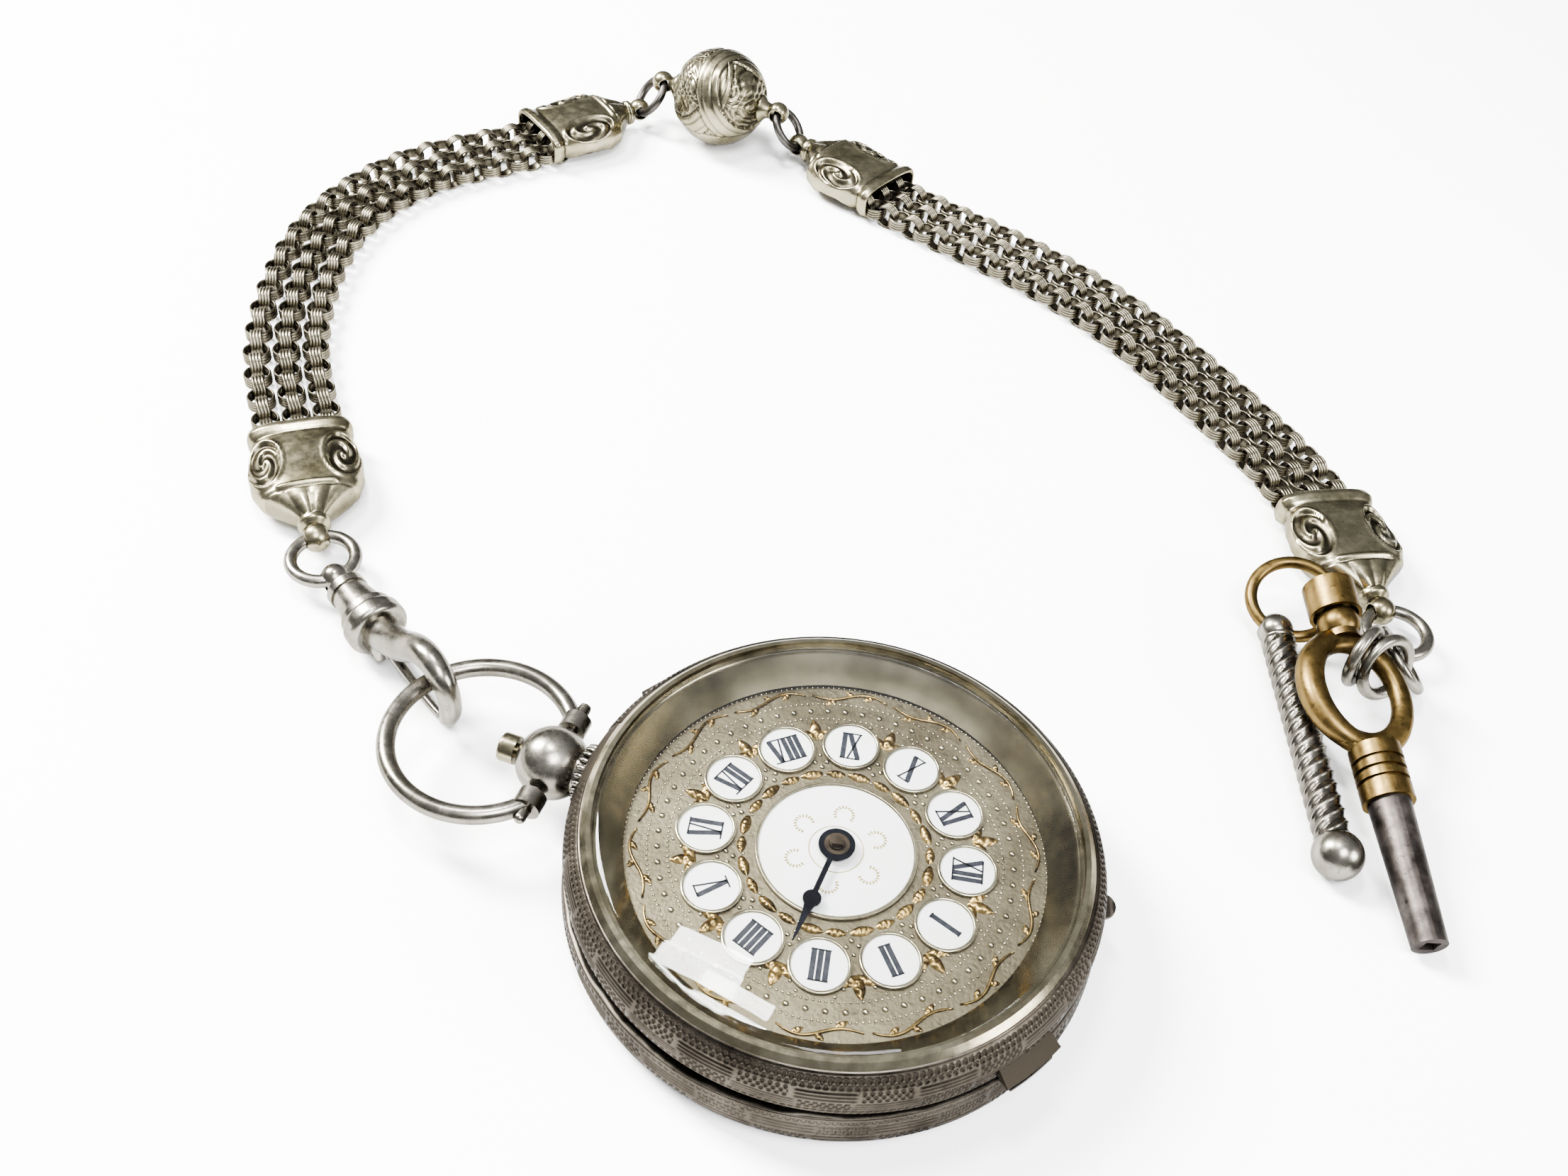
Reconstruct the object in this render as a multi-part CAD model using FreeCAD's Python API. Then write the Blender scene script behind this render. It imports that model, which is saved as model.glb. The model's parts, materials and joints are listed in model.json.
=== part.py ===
import FreeCAD, Part
import math
import os

# Key-wound fob watch lying on its back, dial up, with its chain, swivel clip, T-bar and key.
# Millimetres. The case axis is Z and the origin is the centre of the flat of the case back.
# The chain lies on the same plane that the case back rests on, z = 0.

V = FreeCAD.Vector
UP = V(0, 0, 1)

# --- driving dimensions: case ---
CASE_R = 21.15          # widest radius of the bezel
RIM_Z = 10.0            # top of the bezel, where the crystal sits
GLASS_R = 18.95         # outer radius of the crystal
BAND_R = 20.3           # plain band of the case middle, between bezel and back
NECK_R = 19.5           # snap neck of the middle, under the bezel
SEAT_R = 19.2           # lower neck of the middle, inside the covers
BORE_R = 17.15          # bore of the middle, which holds the movement
SHELL = 0.45            # wall of the back cover
HINGE_ANGLE = 133.5     # direction of the cover hinges
LIP_ANGLE = -46.5       # direction of the thumb lips, opposite the hinges
TAB_ANGLE = -3.0        # direction of the small half-moon tab on the back cover's edge
EDGE_SLANT_ANGLE = -50.0   # where the bezel and back come closest together

# --- driving dimensions: dial and hand ---
DIAL_Z = 6.9
DIAL_R = 17.0
DISC_RING_R = 10.35     # radius of the circle of numeral discs
DISC_R = 2.15
CENTRE_DISC_R = 6.12
TWELVE_ANGLE = -3.6     # the dial is fitted with its XII away from the pendant
HOUR_HAND_ANGLE = -107.5

# --- driving dimensions: pendant and bow ---
PENDANT_ANGLE = 164.7
PENDANT_R = 24.35       # distance of the pendant ball from the case axis
PENDANT_Z = 5.5
BALL_R = 3.05
BOW_R = 7.7             # centre line of the bow's ring
BOW_WIRE = 0.78         # radius of the bow's wire
BOW_CENTRE_R = 30.8     # distance of the ring's centre from the case axis
BUTTON_R = 1.22
BUTTON_STEM_R = 0.62

# --- driving dimensions: chain ---
LINK_R = 1.45           # outer radius of a belcher link
LINK_WALL = 0.22
LINK_WIDTH = 1.3
STRAND_GAP = 3.05       # spacing of the three strands
LINKS = 41              # links in each strand of a section
CUTS = (0, 15, 27, 41)  # first link of each segment of a section, and the end
KNUCKLE_R = 1.4         # ball at the end of a cap
KNUCKLE_BORE = 0.88
CAP_REACH = 15.3        # from the knuckle's centre to the face where the strands leave
CAP_Z = 2.4             # height of the caps' and the small rings' centres

# --- movement levels, from the back towards the dial ---
COVER_Z = 1.2           # inner cover
BRIDGE_Z = 1.85         # back face of the bridges
BRIDGE_TOP = 3.2
PLATE_Z = 4.7           # back face of the main plate
PLATE_TOP = 5.8


def polar(radius, angle, z=0.0):
    a = math.radians(angle)
    return V(radius * math.cos(a), radius * math.sin(a), z)


def heading(angle):
    return polar(1.0, angle)


def cylinder(radius, low, high, centre=V(0, 0, 0)):
    return Part.makeCylinder(radius, high - low, V(centre.x, centre.y, low))


def tube(outer, inner, low, high, centre=V(0, 0, 0)):
    return cylinder(outer, low, high, centre).cut(cylinder(inner, low - 1, high + 1, centre))


def rod(start, end, radius):
    return Part.makeCylinder(radius, (end - start).Length, start, end - start)


def ball(centre, radius):
    return Part.makeSphere(radius, centre)


def frame_at(shape, origin, x_axis, z_axis):
    """Carries a shape from its own frame to origin, with its X and Z along the two given axes."""
    y_axis = z_axis.cross(x_axis)
    turn = FreeCAD.Rotation(x_axis, y_axis, z_axis, "ZXY")
    moved = shape.copy()
    moved.Placement = FreeCAD.Placement(origin, turn).multiply(moved.Placement)
    return moved


def revolved(points, start=0.0, sweep=360.0):
    """Turns an (r, z) outline about the case axis."""
    corners = [V(r, 0, z) for r, z in points]
    face = Part.Face(Part.makePolygon(corners + corners[:1]))
    solid = face.revolve(V(0, 0, 0), UP, sweep)
    solid.rotate(V(0, 0, 0), UP, start)
    return solid


def arc_points(start, middle, end, count):
    """Points along the arc through three (r, z) points, without the first."""
    arc = Part.Arc(V(start[0], 0, start[1]), V(middle[0], 0, middle[1]), V(end[0], 0, end[1]))
    return [(p.x, p.z) for p in arc.discretize(count + 1)[1:]]


def ring(centre, normal, radius, wire):
    return Part.makeTorus(radius, wire, centre, normal)


def slanted(solid, height, rise, keep_below):
    """Trims a shell's edge to height, raised by rise at EDGE_SLANT_ANGLE, lowered opposite."""
    tool = Part.makeBox(120, 120, 40, V(-60, -60, 0))
    tilt = math.degrees(math.atan2(rise, CASE_R))
    axis = heading(EDGE_SLANT_ANGLE + 90)
    tool.rotate(V(0, 0, 0), axis, -tilt)
    tool.translate(V(0, 0, height))
    return solid.cut(tool) if keep_below else solid.common(tool)


# ---------------------------------------------------------------- case
def pendant_cutter(radius):
    return rod(polar(17.5, PENDANT_ANGLE, PENDANT_Z), polar(23, PENDANT_ANGLE, PENDANT_Z), radius)


def hinge_knuckle(radius, height, barrel, from_s, to_s):
    """A length of hinge barrel along the tangent at HINGE_ANGLE."""
    centre = polar(radius, HINGE_ANGLE, height)
    along = heading(HINGE_ANGLE + 90)
    return rod(centre + along * from_s, centre + along * to_s, barrel)


HINGES = {
    "bezel": (21.45, 6.55, 0.55),
    "back": (21.75, 4.1, 0.55),
    "inner": (19.95, 2.95, 0.36),
}
PIN_R = 0.2
PIN_FIT = 0.24


def hinge_leaf(name, low, high, reach, side):
    """The bracket between a hinge barrel and its shell: side 0 is the middle's, 1 the cover's."""
    radius, height, barrel = HINGES[name]
    spans = [(-1.0, 1.0)] if side == 0 else [(-2.9, -1.15), (1.15, 2.9)]
    leaves = []
    for start, end in spans:
        leaf = hinge_knuckle(radius, height, barrel, start, end)
        bracket = Part.makeBox(radius - reach, end - start, high - low, V(reach, start, low))
        bracket.rotate(V(0, 0, 0), UP, HINGE_ANGLE)
        leaves.append(leaf.fuse(bracket).cut(hinge_knuckle(radius, height, PIN_FIT, -4, 4)))
    return leaves


def case_middle():
    body = revolved([
        (BORE_R, 2.2), (SEAT_R, 2.2), (SEAT_R, 4.3), (BAND_R, 4.3), (BAND_R, 6.75),
        (NECK_R, 6.75), (NECK_R, 8.2), (NECK_R - 0.3, 8.4), (18.3, 8.4), (18.3, 6.6),
        (BORE_R, 6.6),
    ])
    for name, low, high, reach in (("bezel", 6.15, 6.5, 20.0), ("back", 4.4, 4.65, 20.0),
                                   ("inner", 2.95, 3.3, 19.0)):
        for leaf in hinge_leaf(name, low, high, reach, 0):
            body = body.fuse(leaf)
    return body


def bezel():
    flank = [(20.42, 5.6), (21.0, 5.6), (CASE_R - 0.05, 6.6)]
    flank += arc_points(flank[-1], (20.85, 8.3), (19.75, RIM_Z - 0.3), 6)
    shell = revolved(flank + [
        (19.4, RIM_Z), (19.02, RIM_Z), (19.02, 9.5), (18.6, 9.5), (16.55, 7.25),
        (16.75, 7.12), (17.2, 7.2), (18.15, 8.55), (NECK_R + 0.14, 8.55),
        (NECK_R + 0.14, 6.9), (20.42, 6.9),
    ])
    shell = slanted(shell, 6.2, -0.5, False)
    shell = shell.cut(pendant_cutter(2.75))
    clear = hinge_knuckle(*HINGES["bezel"][:2], 0.75, -3.2, 3.2)
    shell = shell.cut(clear)
    lip = revolved([(20.9, 7.0), (22.35, 6.05), (22.3, 5.8), (20.9, 6.0)], LIP_ANGLE - 7, 14)
    shell = shell.fuse(lip)
    for leaf in hinge_leaf("bezel", 6.75, 7.1, 20.5, 1):
        shell = shell.fuse(leaf)
    return shell


def back_cover():
    outside = [(0.01, 0), (13, 0), (19.0, 0.35)]
    outside += arc_points((19.0, 0.35), (20.75, 1.1), (21.3, 2.6), 6) + [(21.1, 5.6)]
    inside = [(20.65, 5.6), (20.85, 2.6)]
    inside += arc_points((20.85, 2.6), (20.4, 1.4), (18.95, 0.8), 6) + [(13, SHELL), (0.01, SHELL)]
    shell = revolved(outside + inside).fuse(cylinder(0.02, 0, SHELL))
    shell = slanted(shell, 4.45, 0.75, True)
    shell = shell.cut(pendant_cutter(2.75))
    shell = shell.cut(hinge_knuckle(*HINGES["back"][:2], 0.75, -1.15, 1.15))
    lip = revolved([(20.7, 5.0), (22.25, 5.2), (22.25, 4.9), (20.9, 4.5)], LIP_ANGLE - 5.5, 11)
    shell = shell.fuse(lip)
    tab = cylinder(1.15, 4.75, 5.05, polar(21.25, TAB_ANGLE))
    shell = shell.fuse(tab.cut(cylinder(20.7, 4, 6)))
    for leaf in hinge_leaf("back", 3.25, 3.65, 20.8, 1):
        shell = shell.fuse(leaf)
    return shell


def inner_cover():
    plate = revolved([
        (0.01, COVER_Z), (19.75, COVER_Z), (19.75, 2.45), (19.35, 2.45), (19.35, 1.55),
        (0.01, 1.55),
    ]).fuse(cylinder(0.02, COVER_Z, 1.55))
    for centre in (BARREL_AT, V(0, 0, 0)):
        plate = plate.cut(cylinder(1.3, 0, 3, centre))
    nail_lip = revolved([(19.5, 2.1), (20.1, 2.1), (20.1, 2.45), (19.5, 2.45)], LIP_ANGLE - 5, 10)
    plate = plate.fuse(nail_lip)
    plate = plate.cut(hinge_knuckle(*HINGES["inner"][:2], 0.52, -1.15, 1.15))
    for leaf in hinge_leaf("inner", 2.2, 2.9, 19.5, 1):
        plate = plate.fuse(leaf)
    return plate


def crystal():
    outer = [(0.01, 11.6)] + arc_points((0.01, 11.6), (10, 11.02), (18.2, 9.75), 12)
    inner = [(18.2, 9.52)] + arc_points((18.2, 9.52), (10, 10.62), (0.01, 11.15), 12)
    edge = [(GLASS_R, 9.75), (GLASS_R, 9.55)]
    return revolved(outer + edge + inner).fuse(cylinder(0.02, 11.15, 11.6))


def hinge_pins():
    return [hinge_knuckle(radius, height, PIN_R, -2.9, 2.9) for radius, height, _ in HINGES.values()]


# ---------------------------------------------------------------- pendant and bow
def pendant_point(along, across=0.0, up=0.0):
    """A point given from the case axis along the pendant, across it and above its centre line."""
    return polar(along, PENDANT_ANGLE, PENDANT_Z + up) + heading(PENDANT_ANGLE - 90) * across


def pendant():
    neck = rod(pendant_point(20.0), pendant_point(22.4), 1.9)
    collar = rod(pendant_point(20.45), pendant_point(21.0), 2.4)
    bead = rod(pendant_point(21.0), pendant_point(21.7), 2.15)
    body = neck.fuse(collar).fuse(bead).fuse(ball(pendant_point(PENDANT_R), BALL_R))
    body = body.cut(rod(pendant_point(23.2), pendant_point(28), BUTTON_STEM_R + 0.08))
    body = body.cut(rod(pendant_point(26.7), pendant_point(28), BUTTON_R + 0.08))
    body = body.cut(rod(pendant_point(PENDANT_R, -4), pendant_point(PENDANT_R, 4), 0.5))
    return body.cut(cylinder(BAND_R, 0, 10))


def bow_screws():
    """A plain pin on the near side and a threaded screw, whose end stands out, on the far side."""
    pin = rod(pendant_point(PENDANT_R, -5.9), pendant_point(PENDANT_R, -1.3), 0.5)
    pin = pin.fuse(ball(pendant_point(PENDANT_R, -5.9), 0.5))
    screw = rod(pendant_point(PENDANT_R, 1.3), pendant_point(PENDANT_R, 6.4), 0.5)
    for turn in range(4):
        thread = rod(pendant_point(PENDANT_R, 5.35 + 0.25 * turn),
                     pendant_point(PENDANT_R, 5.47 + 0.25 * turn), 0.55)
        screw = screw.fuse(thread)
    return [pin, screw]


def bow():
    centre = pendant_point(BOW_CENTRE_R)
    half = 180 - math.degrees(math.asin(4.25 / BOW_R))
    section = Part.Face(Part.Wire(Part.makeCircle(BOW_WIRE, V(BOW_R, 0, 0), V(0, 1, 0))))
    section.rotate(V(0, 0, 0), UP, -half)
    arc = section.revolve(V(0, 0, 0), UP, 2 * half)
    wire = frame_at(arc, centre, heading(PENDANT_ANGLE), UP)
    for side in (-1, 1):
        eye = rod(pendant_point(PENDANT_R, side * 3.5), pendant_point(PENDANT_R, side * 5.0), 1.2)
        wire = wire.fuse(eye)
    return wire.cut(rod(pendant_point(PENDANT_R, -7), pendant_point(PENDANT_R, 7), 0.56))


def push_button():
    button = rod(pendant_point(27.5), pendant_point(28.95), BUTTON_R)
    outer_edge = [e for e in button.Edges if e.Closed and e.CenterOfMass.x < pendant_point(28).x]
    button = button.makeFillet(0.25, outer_edge)
    return button.fuse(rod(pendant_point(25.9), pendant_point(27.6), BUTTON_STEM_R))


# ---------------------------------------------------------------- dial and hand
def disc_centres():
    return [polar(DISC_RING_R, TWELVE_ANGLE - 30 * hour, DIAL_Z) for hour in range(12)]


def dial_plate():
    plate = cylinder(DIAL_R, DIAL_Z - 0.3, DIAL_Z)
    plate = plate.fuse(tube(CENTRE_DISC_R + 0.3, CENTRE_DISC_R, DIAL_Z - 0.1, DIAL_Z + 0.28))
    for centre in disc_centres():
        plate = plate.fuse(tube(DISC_R + 0.26, DISC_R, DIAL_Z - 0.1, DIAL_Z + 0.26, centre))
    return plate.cut(cylinder(1.15, 0, 9))


def enamel_discs():
    centre = tube(CENTRE_DISC_R, 1.15, DIAL_Z, DIAL_Z + 0.16)
    return [centre] + [cylinder(DISC_R, DIAL_Z, DIAL_Z + 0.14, c) for c in disc_centres()]


def hour_hand():
    low, high = 7.6, 7.78
    boss = tube(1.45, 1.0, low, high)
    stem = Part.makeBox(4.1, 0.42, high - low, V(1.2, -0.21, low))
    moon = cylinder(0.72, low, high, V(5.35, 0, 0))
    tip = [V(5.2, -0.6, low), V(6.6, -0.28, low), V(9.3, -0.05, low), V(9.3, 0.05, low),
           V(6.6, 0.28, low), V(5.2, 0.6, low)]
    point = Part.Face(Part.makePolygon(tip + tip[:1])).extrude(V(0, 0, high - low))
    hand = boss.fuse(stem).fuse(moon).fuse(point)
    hand.rotate(V(0, 0, 0), UP, HOUR_HAND_ANGLE)
    return hand


# ---------------------------------------------------------------- wheels of the movement
BARREL_AT = polar(8.2, 80)
THIRD_AT = polar(5.04, -60)
FOURTH_AT = THIRD_AT + V(4.25, 0, 0)
ESCAPE_AT = FOURTH_AT + polar(3.465, -80)
BALANCE_AT = ESCAPE_AT + polar(2.3, 200)
MINUTE_AT = polar(3.0, 200)


def bearing(start, end):
    return math.degrees(math.atan2(end.y - start.y, end.x - start.x))


def toothed(teeth, module, low, high, centre, toward, gap=False):
    """A toothed disc with a tooth, or with gap a tooth space, on the line toward a bearing."""
    pitch_r = teeth * module / 2
    root, tip = pitch_r - 1.15 * module, pitch_r + 0.8 * module
    step = 360 / teeth
    shift = 0.5 * step if gap else 0.0
    corners = []
    for i in range(teeth):
        middle = toward + shift + i * step
        for radius, offset in ((root, -0.25), (tip, -0.1), (tip, 0.1), (root, 0.25)):
            corners.append(centre + polar(radius, middle + offset * step))
    corners = [V(c.x, c.y, low) for c in corners]
    return Part.Face(Part.makePolygon(corners + corners[:1])).extrude(V(0, 0, high - low))


def crossed(wheel, radius, hub, centre, arms=4):
    """Cuts the windows between a wheel's arms."""
    box = wheel.BoundBox
    window = tube(radius, hub, box.ZMin - 1, box.ZMax + 1, centre)
    for i in range(arms):
        arm = Part.makeBox(radius + 1, 0.6, 9, V(centre.x, centre.y - 0.3, box.ZMin - 2))
        arm.rotate(centre, UP, i * 360 / arms + 20)
        window = window.cut(arm)
    return wheel.cut(window)


def arbor(centre, low, high, radius=0.3, pivot=0.11):
    """A wheel's axle, with a thinner pivot at each end that runs in a bridge or the plate."""
    body = cylinder(radius, low, high, centre)
    return body.fuse(cylinder(pivot, low - 0.25, high + 0.25, centre))


def barrel():
    drum = tube(6.9, 6.45, 3.75, 5.05, BARREL_AT)
    floor = tube(6.9, 0.62, 3.75, 3.95, BARREL_AT)
    teeth = toothed(80, 8.2 / 45, 4.75, 5.05, BARREL_AT, bearing(BARREL_AT, V(0, 0, 0)))
    teeth = teeth.cut(cylinder(0.62, 4, 6, BARREL_AT))
    teeth = teeth.cut(cylinder(6.45, 4.7, 4.85, BARREL_AT))
    return drum.fuse(floor).fuse(teeth)


def mainspring():
    coils = [tube(2.2 + 0.42 * i, 2.05 + 0.42 * i, 4.02, 4.7, BARREL_AT) for i in range(10)]
    return coils


def barrel_arbor():
    shaft = cylinder(0.55, 2.3, 5.45, BARREL_AT)
    core = cylinder(1.5, 4.05, 4.65, BARREL_AT)
    square = Part.makeBox(0.72, 0.72, 1.3, V(BARREL_AT.x - 0.36, BARREL_AT.y - 0.36, 1.3))
    return shaft.fuse(core).fuse(square)


def ratchet_wheel():
    centre, low, high = BARREL_AT, 1.95, 2.2
    corners = []
    for i in range(24):
        corners.append(centre + polar(2.25, i * 15 + 1))
        corners.append(centre + polar(2.65, i * 15 + 13))
    corners = [V(c.x, c.y, low) for c in corners]
    wheel = Part.Face(Part.makePolygon(corners + corners[:1])).extrude(V(0, 0, high - low))
    hole = Part.makeBox(0.72, 0.72, 3, V(centre.x - 0.36, centre.y - 0.36, 1))
    return wheel.cut(hole)


CLICK_AT = BARREL_AT + polar(4.2, 195)


def click():
    low, high = 1.95, 2.2
    body = cylinder(0.55, low, high, CLICK_AT)
    tip = BARREL_AT + polar(2.95, 218)
    side = (tip - CLICK_AT).normalize().cross(UP) * 0.3
    corners = [CLICK_AT + side, tip, CLICK_AT - side]
    corners = [V(c.x, c.y, low) for c in corners]
    nose = Part.Face(Part.makePolygon(corners + corners[:1])).extrude(V(0, 0, high - low))
    return body.fuse(nose).cut(cylinder(0.27, 1, 3, CLICK_AT))


def centre_wheel():
    wheel = toothed(64, 0.14, 3.35, 3.55, V(0, 0, 0), bearing(V(0, 0, 0), THIRD_AT))
    wheel = crossed(wheel, 3.9, 0.9, V(0, 0, 0))
    pinion = toothed(10, 8.2 / 45, 4.72, 5.12, V(0, 0, 0), bearing(V(0, 0, 0), BARREL_AT), True)
    shaft = cylinder(0.5, 2.05, 5.5, V(0, 0, 0)).fuse(cylinder(0.36, 5.4, 8.0, V(0, 0, 0)))
    return wheel.fuse(pinion).fuse(shaft)


def cannon_pinion():
    teeth = toothed(12, 0.125, 5.92, 6.17, V(0, 0, 0), bearing(V(0, 0, 0), MINUTE_AT), True)
    pipe = cylinder(0.6, 5.92, 7.95, V(0, 0, 0))
    square = Part.makeBox(0.86, 0.86, 0.45, V(-0.43, -0.43, 7.95))
    return teeth.fuse(pipe).fuse(square).cut(cylinder(0.36, 5, 8.0, V(0, 0, 0)))


def minute_wheel():
    wheel = toothed(36, 0.125, 5.94, 6.12, MINUTE_AT, bearing(MINUTE_AT, V(0, 0, 0)))
    pinion = toothed(10, 0.12, 6.1, 6.5, MINUTE_AT, bearing(MINUTE_AT, V(0, 0, 0)), True)
    return wheel.fuse(pinion).cut(cylinder(0.28, 5, 7, MINUTE_AT))


def hour_wheel():
    wheel = toothed(40, 0.12, 6.26, 6.46, V(0, 0, 0), bearing(V(0, 0, 0), MINUTE_AT))
    return wheel.fuse(cylinder(1.0, 6.3, 7.8)).cut(cylinder(0.66, 5, 9))


def third_wheel():
    wheel = toothed(60, 0.125, 4.2, 4.4, THIRD_AT, bearing(THIRD_AT, FOURTH_AT))
    wheel = crossed(wheel, 3.2, 0.7, THIRD_AT)
    pinion = toothed(8, 0.14, 3.28, 3.75, THIRD_AT, bearing(THIRD_AT, V(0, 0, 0)), True)
    return wheel.fuse(pinion).fuse(arbor(THIRD_AT, 3.28, 4.62))


def fourth_wheel():
    wheel = toothed(70, 0.09, 3.8, 4.0, FOURTH_AT, bearing(FOURTH_AT, ESCAPE_AT))
    wheel = crossed(wheel, 2.6, 0.6, FOURTH_AT)
    pinion = toothed(8, 0.125, 4.1, 4.5, FOURTH_AT, bearing(FOURTH_AT, THIRD_AT), True)
    return wheel.fuse(pinion).fuse(arbor(FOURTH_AT, 3.28, 4.62, 0.26))


def escape_wheel():
    low, high = 3.4, 3.6
    corners = []
    for i in range(15):
        start = i * 24
        corners.append(ESCAPE_AT + polar(1.45, start))
        corners.append(ESCAPE_AT + polar(1.95, start + 15))
        corners.append(ESCAPE_AT + polar(1.45, start + 17))
    corners = [V(c.x, c.y, low) for c in corners]
    wheel = Part.Face(Part.makePolygon(corners + corners[:1])).extrude(V(0, 0, high - low))
    wheel = crossed(wheel, 1.2, 0.5, ESCAPE_AT)
    pinion = toothed(7, 0.09, 3.7, 4.1, ESCAPE_AT, bearing(ESCAPE_AT, FOURTH_AT), True)
    return wheel.fuse(pinion).fuse(arbor(ESCAPE_AT, 3.28, 4.62, 0.2))


def balance_wheel():
    rim = crossed(cylinder(4.4, 2.6, 2.85, BALANCE_AT), 3.95, 0.7, BALANCE_AT, 3)
    staff = arbor(BALANCE_AT, 2.35, 4.62, 0.28, 0.09)
    return rim.fuse(staff)


def hairspring():
    return [tube(0.7 + 0.3 * i, 0.62 + 0.3 * i, 2.38, 2.48, BALANCE_AT) for i in range(6)]


PIVOTS = (THIRD_AT, FOURTH_AT, ESCAPE_AT)
JEWEL_R = 0.45


def main_plate():
    plate = cylinder(17.0, PLATE_Z, PLATE_TOP)
    plate = plate.cut(cylinder(7.75, PLATE_Z - 1, 5.2, BARREL_AT))
    plate = plate.cut(cylinder(1.4, PLATE_Z - 1, 5.2))
    plate = plate.cut(cylinder(0.56, 4, 7)).cut(cylinder(0.6, 4, 5.55, BARREL_AT))
    for centre in PIVOTS:
        plate = plate.cut(cylinder(0.15, 4, 7, centre))
    plate = plate.cut(cylinder(0.13, 4, 7, BALANCE_AT))
    return plate.fuse(cylinder(0.24, PLATE_TOP - 0.1, 6.5, MINUTE_AT))


def half_disc(radius, low, high, toward):
    """The part of a disc on one side of its middle line."""
    cutter = Part.makeBox(40, 40, 20, V(0, -20, -5))
    cutter.rotate(V(0, 0, 0), UP, toward)
    return cylinder(radius, low, high).common(cutter)


def pillar(angle, low=BRIDGE_TOP - 0.1, high=PLATE_Z):
    return cylinder(1.0, low, high, polar(15.6, angle))


BARREL_SCREWS = (10, 152)
TRAIN_SCREWS = (-22, -95, -168)
COCK_SCREW = -38


def barrel_bridge():
    bridge = half_disc(16.8, BRIDGE_Z, BRIDGE_TOP, 80)
    bridge = bridge.fuse(cylinder(2.0, BRIDGE_Z, BRIDGE_TOP))
    for angle in BARREL_SCREWS:
        bridge = bridge.fuse(pillar(angle))
        bridge = bridge.cut(cylinder(0.6, 0, 9, polar(15.6, angle)))
    bridge = bridge.cut(cylinder(3.0, BRIDGE_Z - 1, 2.28, BARREL_AT))
    bridge = bridge.cut(cylinder(1.7, BRIDGE_Z - 1, 2.28, CLICK_AT))
    bridge = bridge.fuse(cylinder(0.24, 1.9, 2.4, CLICK_AT))
    return bridge.cut(cylinder(0.6, 0, 9, BARREL_AT)).cut(cylinder(0.55, 0, 9))


def train_bridge():
    bridge = half_disc(16.8, BRIDGE_Z, BRIDGE_TOP, -100)
    bridge.translate(heading(-100) * 0.35)
    bridge = bridge.common(cylinder(16.8, 0, 9)).cut(cylinder(2.35, 0, 9))
    bridge = bridge.cut(cylinder(4.75, BRIDGE_Z - 1, 3.0, BALANCE_AT))
    cock_end = polar(15.6, COCK_SCREW)
    channel = Part.makeBox((cock_end - BALANCE_AT).Length, 2.0, 1.6, V(0, -1.0, BRIDGE_Z - 1))
    channel.rotate(V(0, 0, 0), UP, bearing(BALANCE_AT, cock_end))
    channel.translate(BALANCE_AT)
    bridge = bridge.cut(channel).cut(cylinder(1.7, BRIDGE_Z - 1, 3.0, cock_end))
    for angle in TRAIN_SCREWS:
        bridge = bridge.fuse(pillar(angle))
        bridge = bridge.cut(cylinder(0.6, 0, 9, polar(15.6, angle)))
    for centre in PIVOTS:
        bridge = bridge.cut(cylinder(JEWEL_R, 0, 9, centre))
    return bridge.cut(cylinder(0.4, 0, 9, BALANCE_AT)).cut(
        cylinder(0.6, 0, 9, polar(15.6, COCK_SCREW)))


def balance_cock():
    end = polar(15.6, COCK_SCREW)
    arm = Part.makeBox((end - BALANCE_AT).Length, 1.6, 0.35, V(0, -0.8, BRIDGE_Z))
    arm.rotate(V(0, 0, 0), UP, bearing(BALANCE_AT, end))
    arm.translate(BALANCE_AT)
    cock = arm.fuse(cylinder(1.1, BRIDGE_Z, 2.2, BALANCE_AT))
    cock = cock.fuse(cylinder(1.45, BRIDGE_Z, 3.0, end))
    return cock.cut(cylinder(0.12, 0, 9, BALANCE_AT)).cut(cylinder(0.6, 0, 9, end))


def movement_screws():
    screws = []
    for angle in BARREL_SCREWS + TRAIN_SCREWS + (COCK_SCREW,):
        at = polar(15.6, angle)
        head = cylinder(0.95, 1.64, BRIDGE_Z, at)
        head = head.cut(Part.makeBox(2.4, 0.24, 0.15, V(at.x - 1.2, at.y - 0.12, 1.6)))
        screws.append(head.fuse(cylinder(0.6, BRIDGE_Z, 3.15, at)))
    return screws


def jewels():
    return [tube(JEWEL_R, 0.15, 3.0, BRIDGE_TOP, centre) for centre in PIVOTS]


# ---------------------------------------------------------------- clip
CLIP_ANGLE = 133.5      # direction from the bow's centre to the clip
CLIP_Z = 3.0            # height of the clip's collars
BOW_CENTRE = pendant_point(BOW_CENTRE_R)
LEVER_PIVOT = (16.5, 1.65)   # along the clip and above the table


def clip_point(along, up, across=0.0):
    """A point given from the bow's centre outwards along the clip, and above the table."""
    side = heading(CLIP_ANGLE + 90) * across
    return V(BOW_CENTRE.x, BOW_CENTRE.y, up) + heading(CLIP_ANGLE) * along + side


def bar_along(stations):
    """A smooth round bar through (point, radius) stations."""
    curve = Part.BSplineCurve()
    curve.interpolate([point for point, _ in stations])
    knots = [curve.parameter(point) for point, _ in stations]
    rings = []
    for i in range(len(stations) - 1):
        steps = 3 if i < len(stations) - 2 else 4
        for k in range(steps):
            share = k / 3
            at = knots[i] + (knots[i + 1] - knots[i]) * share
            radius = stations[i][1] + (stations[i + 1][1] - stations[i][1]) * share
            circle = Part.makeCircle(radius, curve.value(at), curve.tangent(at)[0])
            rings.append(Part.Wire(circle))
    return Part.makeLoft(rings, True, False)


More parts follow.
